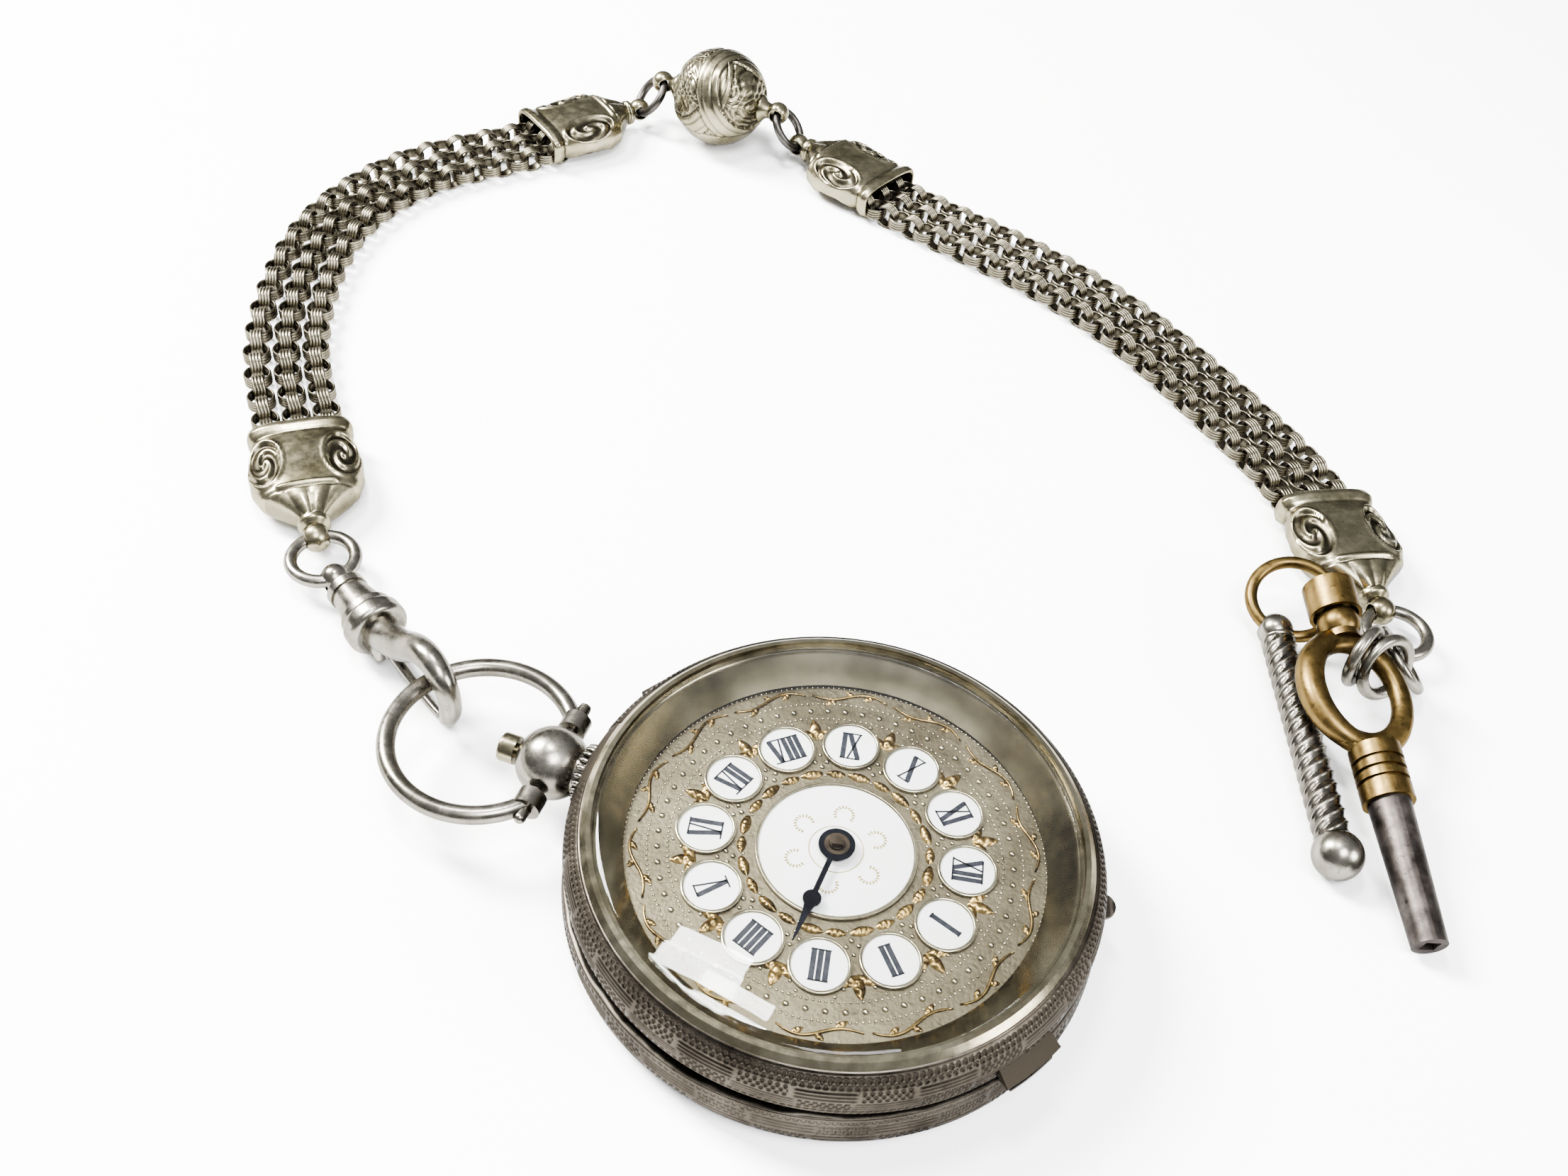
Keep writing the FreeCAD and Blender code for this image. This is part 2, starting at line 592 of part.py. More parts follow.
HOOK_LINE = ((17.6, 3.1, 1.7), (15.4, 3.7, 1.55), (13.2, 4.9, 1.45), (11.2, 6.5, 1.35),
             (9.3, 7.7, 1.25), (7.4, 8.0, 1.15), (5.8, 7.2, 1.05), (5.1, 5.6, 1.0),
             (5.1, 4.0, 0.95), (5.6, 2.6, 0.8), (6.2, 1.7, 0.6))


def clip_hook():
    hook = bar_along([(clip_point(s, z), r) for s, z, r in HOOK_LINE])
    collar = rod(clip_point(17.2, CLIP_Z), clip_point(19.2, CLIP_Z), 2.85)
    collar = collar.makeFillet(0.6, [e for e in collar.Edges if e.Closed])
    ring_step = rod(clip_point(19.0, CLIP_Z), clip_point(19.8, CLIP_Z), 2.5)
    barrel_part = Part.makeCone(2.25, 1.65, 3.6, clip_point(19.5, CLIP_Z), heading(CLIP_ANGLE))
    rim = rod(clip_point(22.9, CLIP_Z), clip_point(23.7, CLIP_Z), 1.85)
    body = hook.fuse(collar).fuse(ring_step).fuse(barrel_part).fuse(rim)
    cheeks = Part.makeBox(2.6, 2.9, 2.6, V(-1.0, -1.45, -0.75))
    cheeks = cheeks.makeFillet(0.5, cheeks.Edges)
    body = body.fuse(frame_at(cheeks, clip_point(*LEVER_PIVOT), heading(CLIP_ANGLE), UP))
    slot = Part.makeBox(5.2, 1.3, 2.9, V(-3.6, -0.65, -1.6))
    body = body.cut(frame_at(slot, clip_point(*LEVER_PIVOT), heading(CLIP_ANGLE), UP))
    body = body.cut(rod(clip_point(20.8, CLIP_Z), clip_point(24, CLIP_Z), SWIVEL_STEM_R + 0.08))
    body = body.cut(rod(clip_point(20.8, CLIP_Z), clip_point(22.3, CLIP_Z), SWIVEL_HEAD_R + 0.15))
    return body.cut(rivet_line(2.2, 0.3))


def rivet_line(half, radius):
    return rod(clip_point(*LEVER_PIVOT, -half), clip_point(*LEVER_PIVOT, half), radius)


def clip_lever():
    line = ((16.5, 1.65, 0.5), (13.5, 1.35, 0.5), (10.5, 1.15, 0.45), (8.5, 1.15, 0.4),
            (7.3, 1.3, 0.34))
    bar = bar_along([(clip_point(s, z), r) for s, z, r in line])
    return bar.fuse(rivet_line(0.45, 0.75)).cut(rivet_line(2, 0.34))


def clip_rivet():
    return rivet_line(1.4, 0.3)


SWIVEL_STEM_R = 0.6
SWIVEL_HEAD_R = 0.85
CLIP_KNUCKLE = clip_point(25.7, CLIP_Z - 0.4)


def knuckle(centre, radius=KNUCKLE_R):
    return ball(centre, radius)


def bored(body, centre, bore_axis):
    """A knuckle's body with the hole that the next ring passes through."""
    return body.cut(rod(centre - bore_axis * 3, centre + bore_axis * 3, KNUCKLE_BORE))


# ---------------------------------------------------------------- rings between the parts
RING_1_R = 2.95
RING_1_WIRE = 0.62
RING_1_TOWARD = 128.0
RING_1_AT = CLIP_KNUCKLE + polar(RING_1_R, RING_1_TOWARD)
CAP_1_ANGLE = 112.0
CAP_1_KNUCKLE = RING_1_AT + polar(RING_1_R, 118)
BALL_AT = V(-21.5, 115.2, 6.15)
BALL_AXIS = -17.0
CHAIN_BALL_R = 6.1
BALL_KNUCKLE = 8.1      # knuckles of the ball, from its centre
LINK_RING_R = 2.45
LINK_RING_WIRE = 0.52
RING_2_TOWARD = 199.0
RING_3_TOWARD = -14.0
CAP_2_ANGLE = 219.0
CAP_3_ANGLE = -37.0
CAP_4_KNUCKLE = V(51.5, 37.8, CAP_Z)
CAP_4_ANGLE = 103.0
RING_6_TOWARD = -70.0
RING_6_AT = CAP_4_KNUCKLE + polar(RING_1_R, RING_6_TOWARD)


def clip_swivel():
    stem = rod(clip_point(21.2, CLIP_Z), CLIP_KNUCKLE, SWIVEL_STEM_R)
    head = rod(clip_point(21.1, CLIP_Z), clip_point(22.0, CLIP_Z), SWIVEL_HEAD_R)
    straight = rod(clip_point(21.2, CLIP_Z), clip_point(24.4, CLIP_Z), SWIVEL_STEM_R)
    body = straight.fuse(head).fuse(stem.common(rod(clip_point(23.75, CLIP_Z),
                                                    clip_point(27, CLIP_Z), 3)))
    body = body.fuse(knuckle(CLIP_KNUCKLE))
    return bored(body, CLIP_KNUCKLE, heading(RING_1_TOWARD + 90))


def dropped_ring(high, toward):
    """Centre and far point of a leaning ring that hangs from a high point down to cap height."""
    drop = high.z - CAP_Z
    run = math.sqrt((2 * LINK_RING_R) ** 2 - drop ** 2)
    low = high + heading(toward) * run - UP * drop
    return (high + low) * 0.5, low


BALL_LEFT = BALL_AT - heading(BALL_AXIS) * BALL_KNUCKLE
BALL_RIGHT = BALL_AT + heading(BALL_AXIS) * BALL_KNUCKLE
RING_2_AT, CAP_2_KNUCKLE = dropped_ring(BALL_LEFT, RING_2_TOWARD)
RING_3_AT, CAP_3_KNUCKLE = dropped_ring(BALL_RIGHT, RING_3_TOWARD)


def leaning_ring(high, centre, toward):
    normal = (high - centre).normalize().cross(heading(toward + 90))
    return ring(centre, normal, LINK_RING_R, LINK_RING_WIRE)


KEY_RINGS = {
    "ring_4": (V(46.94, 28.35, 5.66), V(0.769, -0.63, 0.106), 2.6, 0.54),
    "ring_5": (V(49.28, 28.12, 4.77), V(0.488, -0.806, 0.336), 2.75, 0.58),
    "ring_7": (V(51.87, 30.83, 3.08), V(0.736, 0.149, 0.66), 3.08, 0.5),
}


def chain_rings():
    """Every jump ring of the chain, by node name."""
    rings = {
        "ring_1": ring(RING_1_AT, UP, RING_1_R, RING_1_WIRE),
        "ring_2": leaning_ring(BALL_LEFT, RING_2_AT, RING_2_TOWARD),
        "ring_3": leaning_ring(BALL_RIGHT, RING_3_AT, RING_3_TOWARD),
        "ring_6": ring(RING_6_AT, UP, RING_1_R, RING_1_WIRE),
    }
    for name, (centre, normal, radius, wire) in KEY_RINGS.items():
        rings[name] = ring(centre, normal, radius, wire)
    return rings


def chain_ball():
    body = ball(BALL_AT, CHAIN_BALL_R)
    for centre, toward in ((BALL_LEFT, RING_2_TOWARD), (BALL_RIGHT, RING_3_TOWARD)):
        body = body.fuse(knuckle(centre)).fuse(rod(BALL_AT, centre, 1.05))
        body = bored(body, centre, heading(toward + 90))
    return body


# ---------------------------------------------------------------- caps and strands
STRAND_Z = 1.47         # height of the links' centres
END_LINK = CAP_REACH - 1.7   # the first link sits inside the cap's mouth
END_PIN = END_LINK - 0.5     # the pin that holds the three end links


def cap(knuckle_at, angle, ring_tangent):
    """A pillow-shaped end cap: knuckle, neck, rounded box, flange and the pin of the end links."""
    half_w, half_h = 5.15, 2.3
    body = Part.makeBox(10.6, 2 * half_w, 2 * half_h, V(3.6, -half_w, -half_h))
    long_edges = [e for e in body.Edges if abs(e.tangentAt(e.FirstParameter).x) > 0.9]
    body = body.makeFillet(1.5, long_edges)
    shoulder = [e for e in body.Edges if abs(e.CenterOfMass.x - 3.6) < 0.01]
    body = body.makeFillet(1.2, shoulder)
    flange = Part.makeBox(1.3, 10.1, 4.1, V(CAP_REACH - 1.3, -5.05, -2.05))
    flange = flange.makeFillet(0.4, flange.Edges)
    neck = Part.makeCone(1.0, 2.15, 4.0, V(0.4, 0, 0), V(1, 0, 0))
    collar = Part.makeCylinder(1.6, 0.5, V(1.5, 0, 0), V(1, 0, 0))
    body = body.fuse(flange).fuse(neck).fuse(collar).fuse(knuckle(V(0, 0, 0)))
    mouth = Part.makeBox(4.2, 9.56, 3.9, V(CAP_REACH - 3.4, -4.78, -2.8))
    pin = rod(V(END_PIN, -4.95, STRAND_Z - CAP_Z), V(END_PIN, 4.95, STRAND_Z - CAP_Z), 0.35)
    body = body.cut(mouth).fuse(pin)
    return bored(frame_at(body, knuckle_at, heading(angle), UP), knuckle_at, ring_tangent)


def caps():
    return {
        "cap_1": cap(CAP_1_KNUCKLE, CAP_1_ANGLE, heading(118 + 90)),
        "cap_2": cap(CAP_2_KNUCKLE, CAP_2_ANGLE, heading(RING_2_TOWARD + 90)),
        "cap_3": cap(CAP_3_KNUCKLE, CAP_3_ANGLE, heading(RING_3_TOWARD + 90)),
        "cap_4": cap(CAP_4_KNUCKLE, CAP_4_ANGLE, heading(RING_6_TOWARD + 90)),
    }


def cap_mouth(knuckle_at, angle):
    return V(knuckle_at.x, knuckle_at.y, STRAND_Z) + heading(angle) * END_LINK


def strand_curve(start, start_angle, end, end_angle, through):
    """The middle strand's line on the table, with given directions at its ends."""
    points = [start] + [V(x, y, STRAND_Z) for x, y in through] + [end]
    curve = Part.BSplineCurve()
    curve.interpolate(Points=points, InitialTangent=heading(start_angle),
                      FinalTangent=heading(end_angle))
    return curve


STRANDS = {
    "a": strand_curve(cap_mouth(CAP_1_KNUCKLE, CAP_1_ANGLE), CAP_1_ANGLE,
                      cap_mouth(CAP_2_KNUCKLE, CAP_2_ANGLE), CAP_2_ANGLE - 180,
                      [(-61.9, 59.2), (-64.2, 72.0), (-63.1, 86.5), (-56.2, 98.2)]),
    "b": strand_curve(cap_mouth(CAP_3_KNUCKLE, CAP_3_ANGLE), CAP_3_ANGLE,
                      cap_mouth(CAP_4_KNUCKLE, CAP_4_ANGLE), CAP_4_ANGLE - 180,
                      [(14.8, 94.4), (25.4, 86.4), (34.5, 76.0), (41.9, 65.0)]),
}


def link(centre, axis):
    half = axis * (LINK_WIDTH / 2)
    bore = rod(centre - axis * 2, centre + axis * 2, LINK_R - LINK_WALL)
    return rod(centre - half, centre + half, LINK_R).cut(bore)


def link_rows(curve):
    """The links of a three-strand section, three abreast, alternately upright and flat."""
    stations = curve.discretize(LINKS)
    rows = []
    for i, point in enumerate(stations):
        ahead = stations[min(i + 1, LINKS - 1)] - stations[max(i - 1, 0)]
        across = UP.cross(ahead).normalize()
        axis = across if i % 2 == 0 else UP
        rows.append([link(point + across * (STRAND_GAP * k), axis) for k in (-1, 0, 1)])
    return rows


def strands():
    """Each section of chain in three segments that flex against each other."""
    segments = {}
    for name, curve in STRANDS.items():
        rows = link_rows(curve)
        for part in range(3):
            links = [one for row in rows[CUTS[part]:CUTS[part + 1]] for one in row]
            segments["strand_%s_%d" % (name, part + 1)] = links
    return segments


# ---------------------------------------------------------------- key, split ring and T-bar
KEY_TIP = V(48.75, 0.6, 1.75)
KEY_AXIS = V(-0.118, 0.988, 0.142).normalize()
KEY_ROLL = 5.7          # degrees the key leans over, left side up
KEY_SIDE = FreeCAD.Rotation(KEY_AXIS, KEY_ROLL).multVec(KEY_AXIS.cross(UP).normalize())
KEY_FACE = KEY_SIDE.cross(KEY_AXIS)
KEY_LOOP_AT = 24.1      # centre of the key's loop, from the pipe's end
KEY_LOOP = (4.25, 5.5)  # half width and half length of the loop's centre line
KEY_LOOP_WIRE = 0.95
KNOB_AT = 31.4          # the round knob on top of the loop

SPLIT_RING_AT = V(42.6, 37.1, 3.4)
SPLIT_RING_NORMAL = V(-0.135, -0.296, 0.946).normalize()
SPLIT_RING_R = 4.0
SPLIT_RING_WIRE = 0.6
T_BAR_BALL = V(42.4, 8.3, 2.25)
T_BAR_R = 1.6


def key_point(along, across=0.0):
    return KEY_TIP + KEY_AXIS * along + KEY_SIDE * across


def split_ring_point(angle):
    """Point and direction of the split ring's wire at an angle measured from +X."""
    first = (V(1, 0, 0) - SPLIT_RING_NORMAL * SPLIT_RING_NORMAL.x).normalize()
    second = SPLIT_RING_NORMAL.cross(first)
    a = math.radians(angle)
    point = SPLIT_RING_AT + (first * math.cos(a) + second * math.sin(a)) * SPLIT_RING_R
    return point, second * math.cos(a) - first * math.sin(a)


def key_handle():
    centre = key_point(KEY_LOOP_AT, -0.15)
    unit = ring(V(0, 0, 0), UP, KEY_LOOP[0], KEY_LOOP_WIRE)
    stretch = FreeCAD.Matrix()
    stretch.scale(V(1, KEY_LOOP[1] / KEY_LOOP[0], 1))
    loop = frame_at(unit.transformGeometry(stretch), centre, KEY_SIDE, KEY_FACE)
    collar = rod(key_point(12.9), key_point(18.2), 2.25)
    for at in (14.5, 15.5, 16.5):
        groove = rod(key_point(at), key_point(at + 0.35), 3)
        collar = collar.cut(groove.cut(rod(key_point(at - 1), key_point(at + 1), 2.0)))
    knob = ball(key_point(KNOB_AT), 1.95).fuse(rod(key_point(29.6), key_point(KNOB_AT), 1.6))
    stem = rod(key_point(KNOB_AT), key_point(34.8), 0.75)
    stop = rod(key_point(34.1), key_point(34.8), 1.2)
    body = loop.fuse(collar).fuse(knob).fuse(stem).fuse(stop)
    return body.cut(rod(key_point(12.5), key_point(15.9), 1.45))


def key_pipe():
    pipe = Part.makeCone(1.5, 1.72, 8.2, key_point(0.0), KEY_AXIS)
    upper = Part.makeCone(1.72, 1.85, 4.7, key_point(8.2), KEY_AXIS)
    tang = rod(key_point(12.7), key_point(15.9), 1.45)
    square = Part.makeBox(1.35, 1.35, 6.0, V(-0.675, -0.675, -0.5))
    square = frame_at(square, key_point(0.0), KEY_SIDE, KEY_AXIS)
    return pipe.fuse(upper).fuse(tang).cut(square)


def key_swivel():
    """A barrel that turns on the knob's stem, with an eye underneath for the split ring."""
    eye, along = split_ring_point(-42)
    body = rod(key_point(32.4), key_point(35.7), 2.4)
    body = body.fuse(ball(eye, 1.35)).fuse(rod(eye, key_point(34.9), 1.0))
    body = body.cut(rod(key_point(32), key_point(33.5), 2.05))
    body = body.cut(rod(key_point(33.4), key_point(34.1), 0.85))
    body = body.cut(rod(key_point(34.0), key_point(34.95), 1.32))
    return body.cut(rod(eye - along * 3, eye + along * 3, 0.9))


def key_ring():
    return ring(SPLIT_RING_AT, SPLIT_RING_NORMAL, SPLIT_RING_R, SPLIT_RING_WIRE)


def t_bar():
    eye, along = split_ring_point(-118)
    axis = (eye - T_BAR_BALL).normalize()
    body = rod(T_BAR_BALL + axis * 0.4, eye - axis * 1.9, T_BAR_R)
    body = body.fuse(ball(T_BAR_BALL, 2.2)).fuse(rod(eye - axis * 0.5, eye - axis * 2.5, 1.25))
    body = body.fuse(ball(eye, 1.7))
    return body.cut(rod(eye - along * 3, eye + along * 3, 0.95))


# ---------------------------------------------------------------- export
def export(name, shapes):
    solids = shapes if isinstance(shapes, list) else [shapes]
    flat = [s for shape in solids for s in shape.Solids]
    for solid in flat:
        if not solid.isValid():
            print("invalid solid in", name)
    whole = Part.makeCompound(flat)
    whole.exportStep("parts/" + name + ".step")
    box = whole.BoundBox
    print("%-16s %3d  x %.2f %.2f  y %.2f %.2f  z %.2f %.2f" % (
        name, len(flat), box.XMin, box.XMax, box.YMin, box.YMax, box.ZMin, box.ZMax))


SINGLE_NODES = (
    case_middle, bezel, back_cover, inner_cover, crystal, hinge_pins, pendant, bow_screws, bow,
    push_button, dial_plate, enamel_discs, hour_hand, barrel, mainspring, barrel_arbor,
    ratchet_wheel, click, centre_wheel, cannon_pinion, minute_wheel, hour_wheel, third_wheel,
    fourth_wheel, escape_wheel, balance_wheel, hairspring, main_plate, barrel_bridge,
    train_bridge, balance_cock, movement_screws, jewels, clip_hook, clip_lever, clip_rivet,
    clip_swivel, chain_ball, key_handle, key_pipe, key_swivel, key_ring, t_bar,
)


def main():
    os.makedirs("parts", exist_ok=True)
    for build in SINGLE_NODES:
        export(build.__name__, build())
    for group in (chain_rings(), caps(), strands()):
        for name, shapes in group.items():
            export(name, shapes)


main()
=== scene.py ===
"""Looks for a key-wound fob watch with its chain, swivel clip, T-bar and key.

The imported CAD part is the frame. Plain metal nodes keep their CAD shape and get a worn, tarnished
finish. Engraved and chased surfaces, the dial's ornament and the chain's links are pieces made here.
Lengths are millimetres until a mesh is made. Named angles and those given to functions are degrees;
a turn or rise that goes straight into sin and cos is in radians.
"""
import json
import math

import bpy
import numpy as np
from mathutils import Matrix, Vector

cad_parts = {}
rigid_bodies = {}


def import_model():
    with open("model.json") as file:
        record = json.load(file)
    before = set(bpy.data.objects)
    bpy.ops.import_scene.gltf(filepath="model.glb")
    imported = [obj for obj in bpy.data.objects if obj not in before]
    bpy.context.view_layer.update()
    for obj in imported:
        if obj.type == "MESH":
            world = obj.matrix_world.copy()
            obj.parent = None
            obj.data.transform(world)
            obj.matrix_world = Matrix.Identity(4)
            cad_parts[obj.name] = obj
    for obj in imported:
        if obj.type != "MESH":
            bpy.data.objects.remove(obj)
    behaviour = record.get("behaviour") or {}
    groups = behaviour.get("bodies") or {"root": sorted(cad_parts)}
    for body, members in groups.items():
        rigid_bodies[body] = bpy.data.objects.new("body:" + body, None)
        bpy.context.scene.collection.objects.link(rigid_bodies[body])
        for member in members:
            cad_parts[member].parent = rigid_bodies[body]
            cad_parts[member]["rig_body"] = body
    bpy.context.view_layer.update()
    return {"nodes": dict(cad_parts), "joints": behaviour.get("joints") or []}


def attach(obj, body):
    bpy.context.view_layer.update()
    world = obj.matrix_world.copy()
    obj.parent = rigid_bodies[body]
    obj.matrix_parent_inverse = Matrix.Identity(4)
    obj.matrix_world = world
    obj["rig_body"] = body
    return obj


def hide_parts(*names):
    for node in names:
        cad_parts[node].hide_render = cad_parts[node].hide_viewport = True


MM = 0.001

# --- case ---
HINGE_ANGLE = 133.5
PENDANT_ANGLE = 164.7
PENDANT_HALF_GAP = 8.6      # the engraving stops this far either side of the pendant
HINGE_HALF_GAP = (9.6, 10.4)    # and gives way to the hinge between these
EDGE_SLANT_ANGLE = -50.0    # where bezel and back come closest together
RIM_Z = 10.0

# --- dial ---
DIAL_Z = 6.9
DISC_RING_R = 10.35
DISC_R = 2.15
DISC_TOP = 0.14
CENTRE_DISC_R = 6.12
TWELVE_ANGLE = -3.6
HOURS = 12

# --- pendant, chain, key ---
PENDANT_Z = 5.5
LINK_R = 1.45
LINK_BORE = 1.2
LINK_WIDTH = 1.3
CAP_Z = 2.4
CHAIN_BALL_R = 6.1
T_BAR_R = 1.6

# --- camera, a hand-held view from above and in front ---
CAMERA_AT = (-6.28, -70.34, 108.32)
CAMERA_FORWARD = (0.0, 0.695, -0.719)
CAMERA_ROLL = 6.3
CAMERA_LENS = 35.8

# --- table ---
TABLE_HALF = 1500.0
TABLE_Z = -0.02             # just under the watch, so that the two faces don't fight

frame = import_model()
NODES = frame["nodes"]
JOINTS = {joint["name"]: joint for joint in frame["joints"]}


# ---------------------------------------------------------------- small helpers
def polar(radius, angle, z=0.0):
    a = math.radians(angle)
    return Vector((radius * math.cos(a), radius * math.sin(a), z))


def smooth_step(value, low, high):
    """0 below low, 1 above high, smooth between."""
    t = np.clip((value - low) / (high - low), 0, 1)
    return t * t * (3 - 2 * t)


def bump(distance, width):
    """1 at distance 0, falling smoothly to 0 at width."""
    return 1 - smooth_step(np.abs(distance), 0.0, width)


def angle_from(angle, centre):
    """Signed difference of two angles, between -180 and 180."""
    return (angle - centre + 180) % 360 - 180


def hour_angle(hour):
    """Direction of an hour on the dial; halves are between two numeral discs."""
    return TWELVE_ANGLE - 360 / HOURS * hour


def round_turn(sides):
    """Angles in radians once round a grid, without the last one."""
    return np.linspace(0, 2 * math.pi, sides, endpoint=False)


def body_of(node):
    return NODES[node]["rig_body"]


def joint_at(name):
    return Vector(JOINTS[name]["pos_m"]) / MM


def joint_axis(name):
    return Vector(JOINTS[name]["axis"]).normalized()


# ---------------------------------------------------------------- materials
WAVE_RINGS = 20 / (2 * math.pi)     # rings to a unit in Blender's wave texture at a scale of 1


class Look:
    """A material's node tree, with short names for the nodes used here."""

    def __init__(self, name):
        self.material = bpy.data.materials.new(name)
        self.material.use_nodes = True
        self.tree = self.material.node_tree
        self.shader = self.tree.nodes["Principled BSDF"]
        self.place = self.tree.nodes.new("ShaderNodeTexCoord").outputs["Object"]

    def link(self, source, target):
        self.tree.links.new(source, target)

    def noise(self, scale, detail=4.0, stretch=(1, 1, 1)):
        """Noise with features about 1/scale millimetres wide."""
        mapping = self.tree.nodes.new("ShaderNodeMapping")
        mapping.inputs["Scale"].default_value = [scale * s / MM for s in stretch]
        self.link(self.place, mapping.inputs["Vector"])
        node = self.tree.nodes.new("ShaderNodeTexNoise")
        node.inputs["Scale"].default_value = 1.0
        node.inputs["Detail"].default_value = detail
        node.inputs["Roughness"].default_value = 0.6
        self.link(mapping.outputs["Vector"], node.inputs["Vector"])
        return node.outputs["Fac"]

    def rings(self, per_mm):
        """Wavering turned rings round the case axis, so many to a millimetre."""
        node = self.tree.nodes.new("ShaderNodeTexWave")
        node.wave_type = "RINGS"
        node.rings_direction = "Z"
        node.inputs["Scale"].default_value = per_mm / MM / WAVE_RINGS
        node.inputs["Distortion"].default_value = 3.0
        node.inputs["Detail"].default_value = 1.0
        node.inputs["Detail Scale"].default_value = 0.6
        self.link(self.place, node.inputs["Vector"])
        return node.outputs["Fac"]

    def ramp(self, source, *stops):
        """Colours or grey levels along a factor; each stop is (position, value)."""
        node = self.tree.nodes.new("ShaderNodeValToRGB")
        elements = node.color_ramp.elements
        while len(elements) < len(stops):
            elements.new(0.5)
        for element, (position, value) in zip(elements, stops):
            element.position = position
            grey = (value, value, value) if isinstance(value, (int, float)) else value
            element.color = (*grey, 1)
        self.link(source, node.inputs["Fac"])
        return node.outputs["Color"]

    def mix(self, factor, first, second):
        """Colour first turning to second as factor goes to 1; either may be a plain colour."""
        node = self.tree.nodes.new("ShaderNodeMix")
        node.data_type = "RGBA"
        self.link(factor, node.inputs["Factor"])
        for source, socket in ((first, "A"), (second, "B")):
            target = [s for s in node.inputs if s.name == socket and s.type == "RGBA"][0]
            if isinstance(source, tuple):
                target.default_value = (*source, 1)
            else:
                self.link(source, target)
        return [s for s in node.outputs if s.type == "RGBA"][0]

    def beyond(self, radius_mm):
        """1 further than a radius from the case axis, 0 nearer."""
        flat = self.tree.nodes.new("ShaderNodeVectorMath")
        flat.operation = "MULTIPLY"
        flat.inputs[1].default_value = (1, 1, 0)
        length = self.tree.nodes.new("ShaderNodeVectorMath")
        length.operation = "LENGTH"
        step = self.tree.nodes.new("ShaderNodeMath")
        step.operation = "GREATER_THAN"
        step.inputs[1].default_value = radius_mm * MM
        self.link(self.place, flat.inputs[0])
        self.link(flat.outputs["Vector"], length.inputs[0])
        self.link(length.outputs["Value"], step.inputs[0])
        return step.outputs["Value"]

    def attribute(self, name):
        node = self.tree.nodes.new("ShaderNodeAttribute")
        node.attribute_name = name
        return node.outputs["Fac"]

    def relief(self, source, depth_mm):
        node = self.tree.nodes.new("ShaderNodeBump")
        node.inputs["Strength"].default_value = 1.0
        node.inputs["Distance"].default_value = depth_mm * MM
        self.link(source, node.inputs["Height"])
        self.link(node.outputs["Normal"], self.shader.inputs["Normal"])

    def set(self, **values):
        for name, value in values.items():
            socket = self.shader.inputs[name.replace("_", " ").title().replace("Ior", "IOR")]
            socket.default_value = (*value, 1) if isinstance(value, tuple) else value


FLANK_BRIGHT = (0.046, 0.039, 0.031)
FLANK_DULL = (0.018, 0.015, 0.0115)
FLANK_ROUGH = 0.65
CASE_TOP_R = 19.9       # the case's plain metal beyond this is as dark as the flanks
RING_DEPTH = 0.05


def metal(name, bright, dull, rough=(0.2, 0.4), patch=0.25, grain=0.004, niello=(0.02, 0.017, 0.014),
          rings=0, dark_from=None):
    """Worn metal: bright and dull patches, scratches or turned rings, near-black in marked recesses.

    rough is the range of roughness, patch and grain the scale of the patches and the depth of the
    scratches, rings the number of turned rings to a millimetre, and dark_from the distance from the
    case axis beyond which the metal is as dark as the engraved flanks, and matt.
    """
    look = Look(name)
    look.set(metallic=1.0, specular_tint=(0.5, 0.5, 0.5))
    patches = look.ramp(look.noise(patch, 6), (0.36, 0.0), (0.66, 1.0))
    colour = look.mix(patches, bright, dull)
    if grain:
        specks = look.ramp(look.noise(2.2, 5), (0.60, 0.0), (0.72, 1.0))
        colour = look.mix(specks, colour, tuple(0.6 * c for c in dull))
    roughness = look.ramp(look.noise(0.9, 5), (0.3, rough[0]), (0.7, rough[1]))
    if dark_from:
        outside = look.beyond(dark_from)
        colour = look.mix(outside, colour, FLANK_DULL)
        roughness = look.mix(outside, roughness, (FLANK_ROUGH, FLANK_ROUGH, FLANK_ROUGH))
    look.link(roughness, look.shader.inputs["Roughness"])
    recess = look.attribute("tarnish")
    look.link(look.mix(recess, colour, niello), look.shader.inputs["Base Color"])
    if rings:
        look.relief(look.rings(rings), RING_DEPTH)
    elif grain:
        look.relief(look.noise(3.0, 6, (1, 1, 2.5)), grain)
    return look.material


def enamel(name, colour):
    look = Look(name)
    look.set(roughness=0.14, coat_weight=0.4, coat_roughness=0.05)
    clouds = look.noise(0.35, 3)
    cream = tuple(c * k for c, k in zip(colour, (0.97, 0.95, 0.9)))
    look.link(look.ramp(clouds, (0.35, colour), (0.75, cream)), look.shader.inputs["Base Color"])
    look.relief(look.noise(1.5, 2), 0.004)
    return look.material


def paint(name, colour):
    look = Look(name)
    look.set(roughness=0.4, specular_ior_level=0.2)
    pale = tuple(min(1.0, 1.6 * c + 0.01) for c in colour)
    look.link(look.ramp(look.noise(2.0, 4), (0.4, colour), (0.75, pale)), look.shader.inputs["Base Color"])
    return look.material


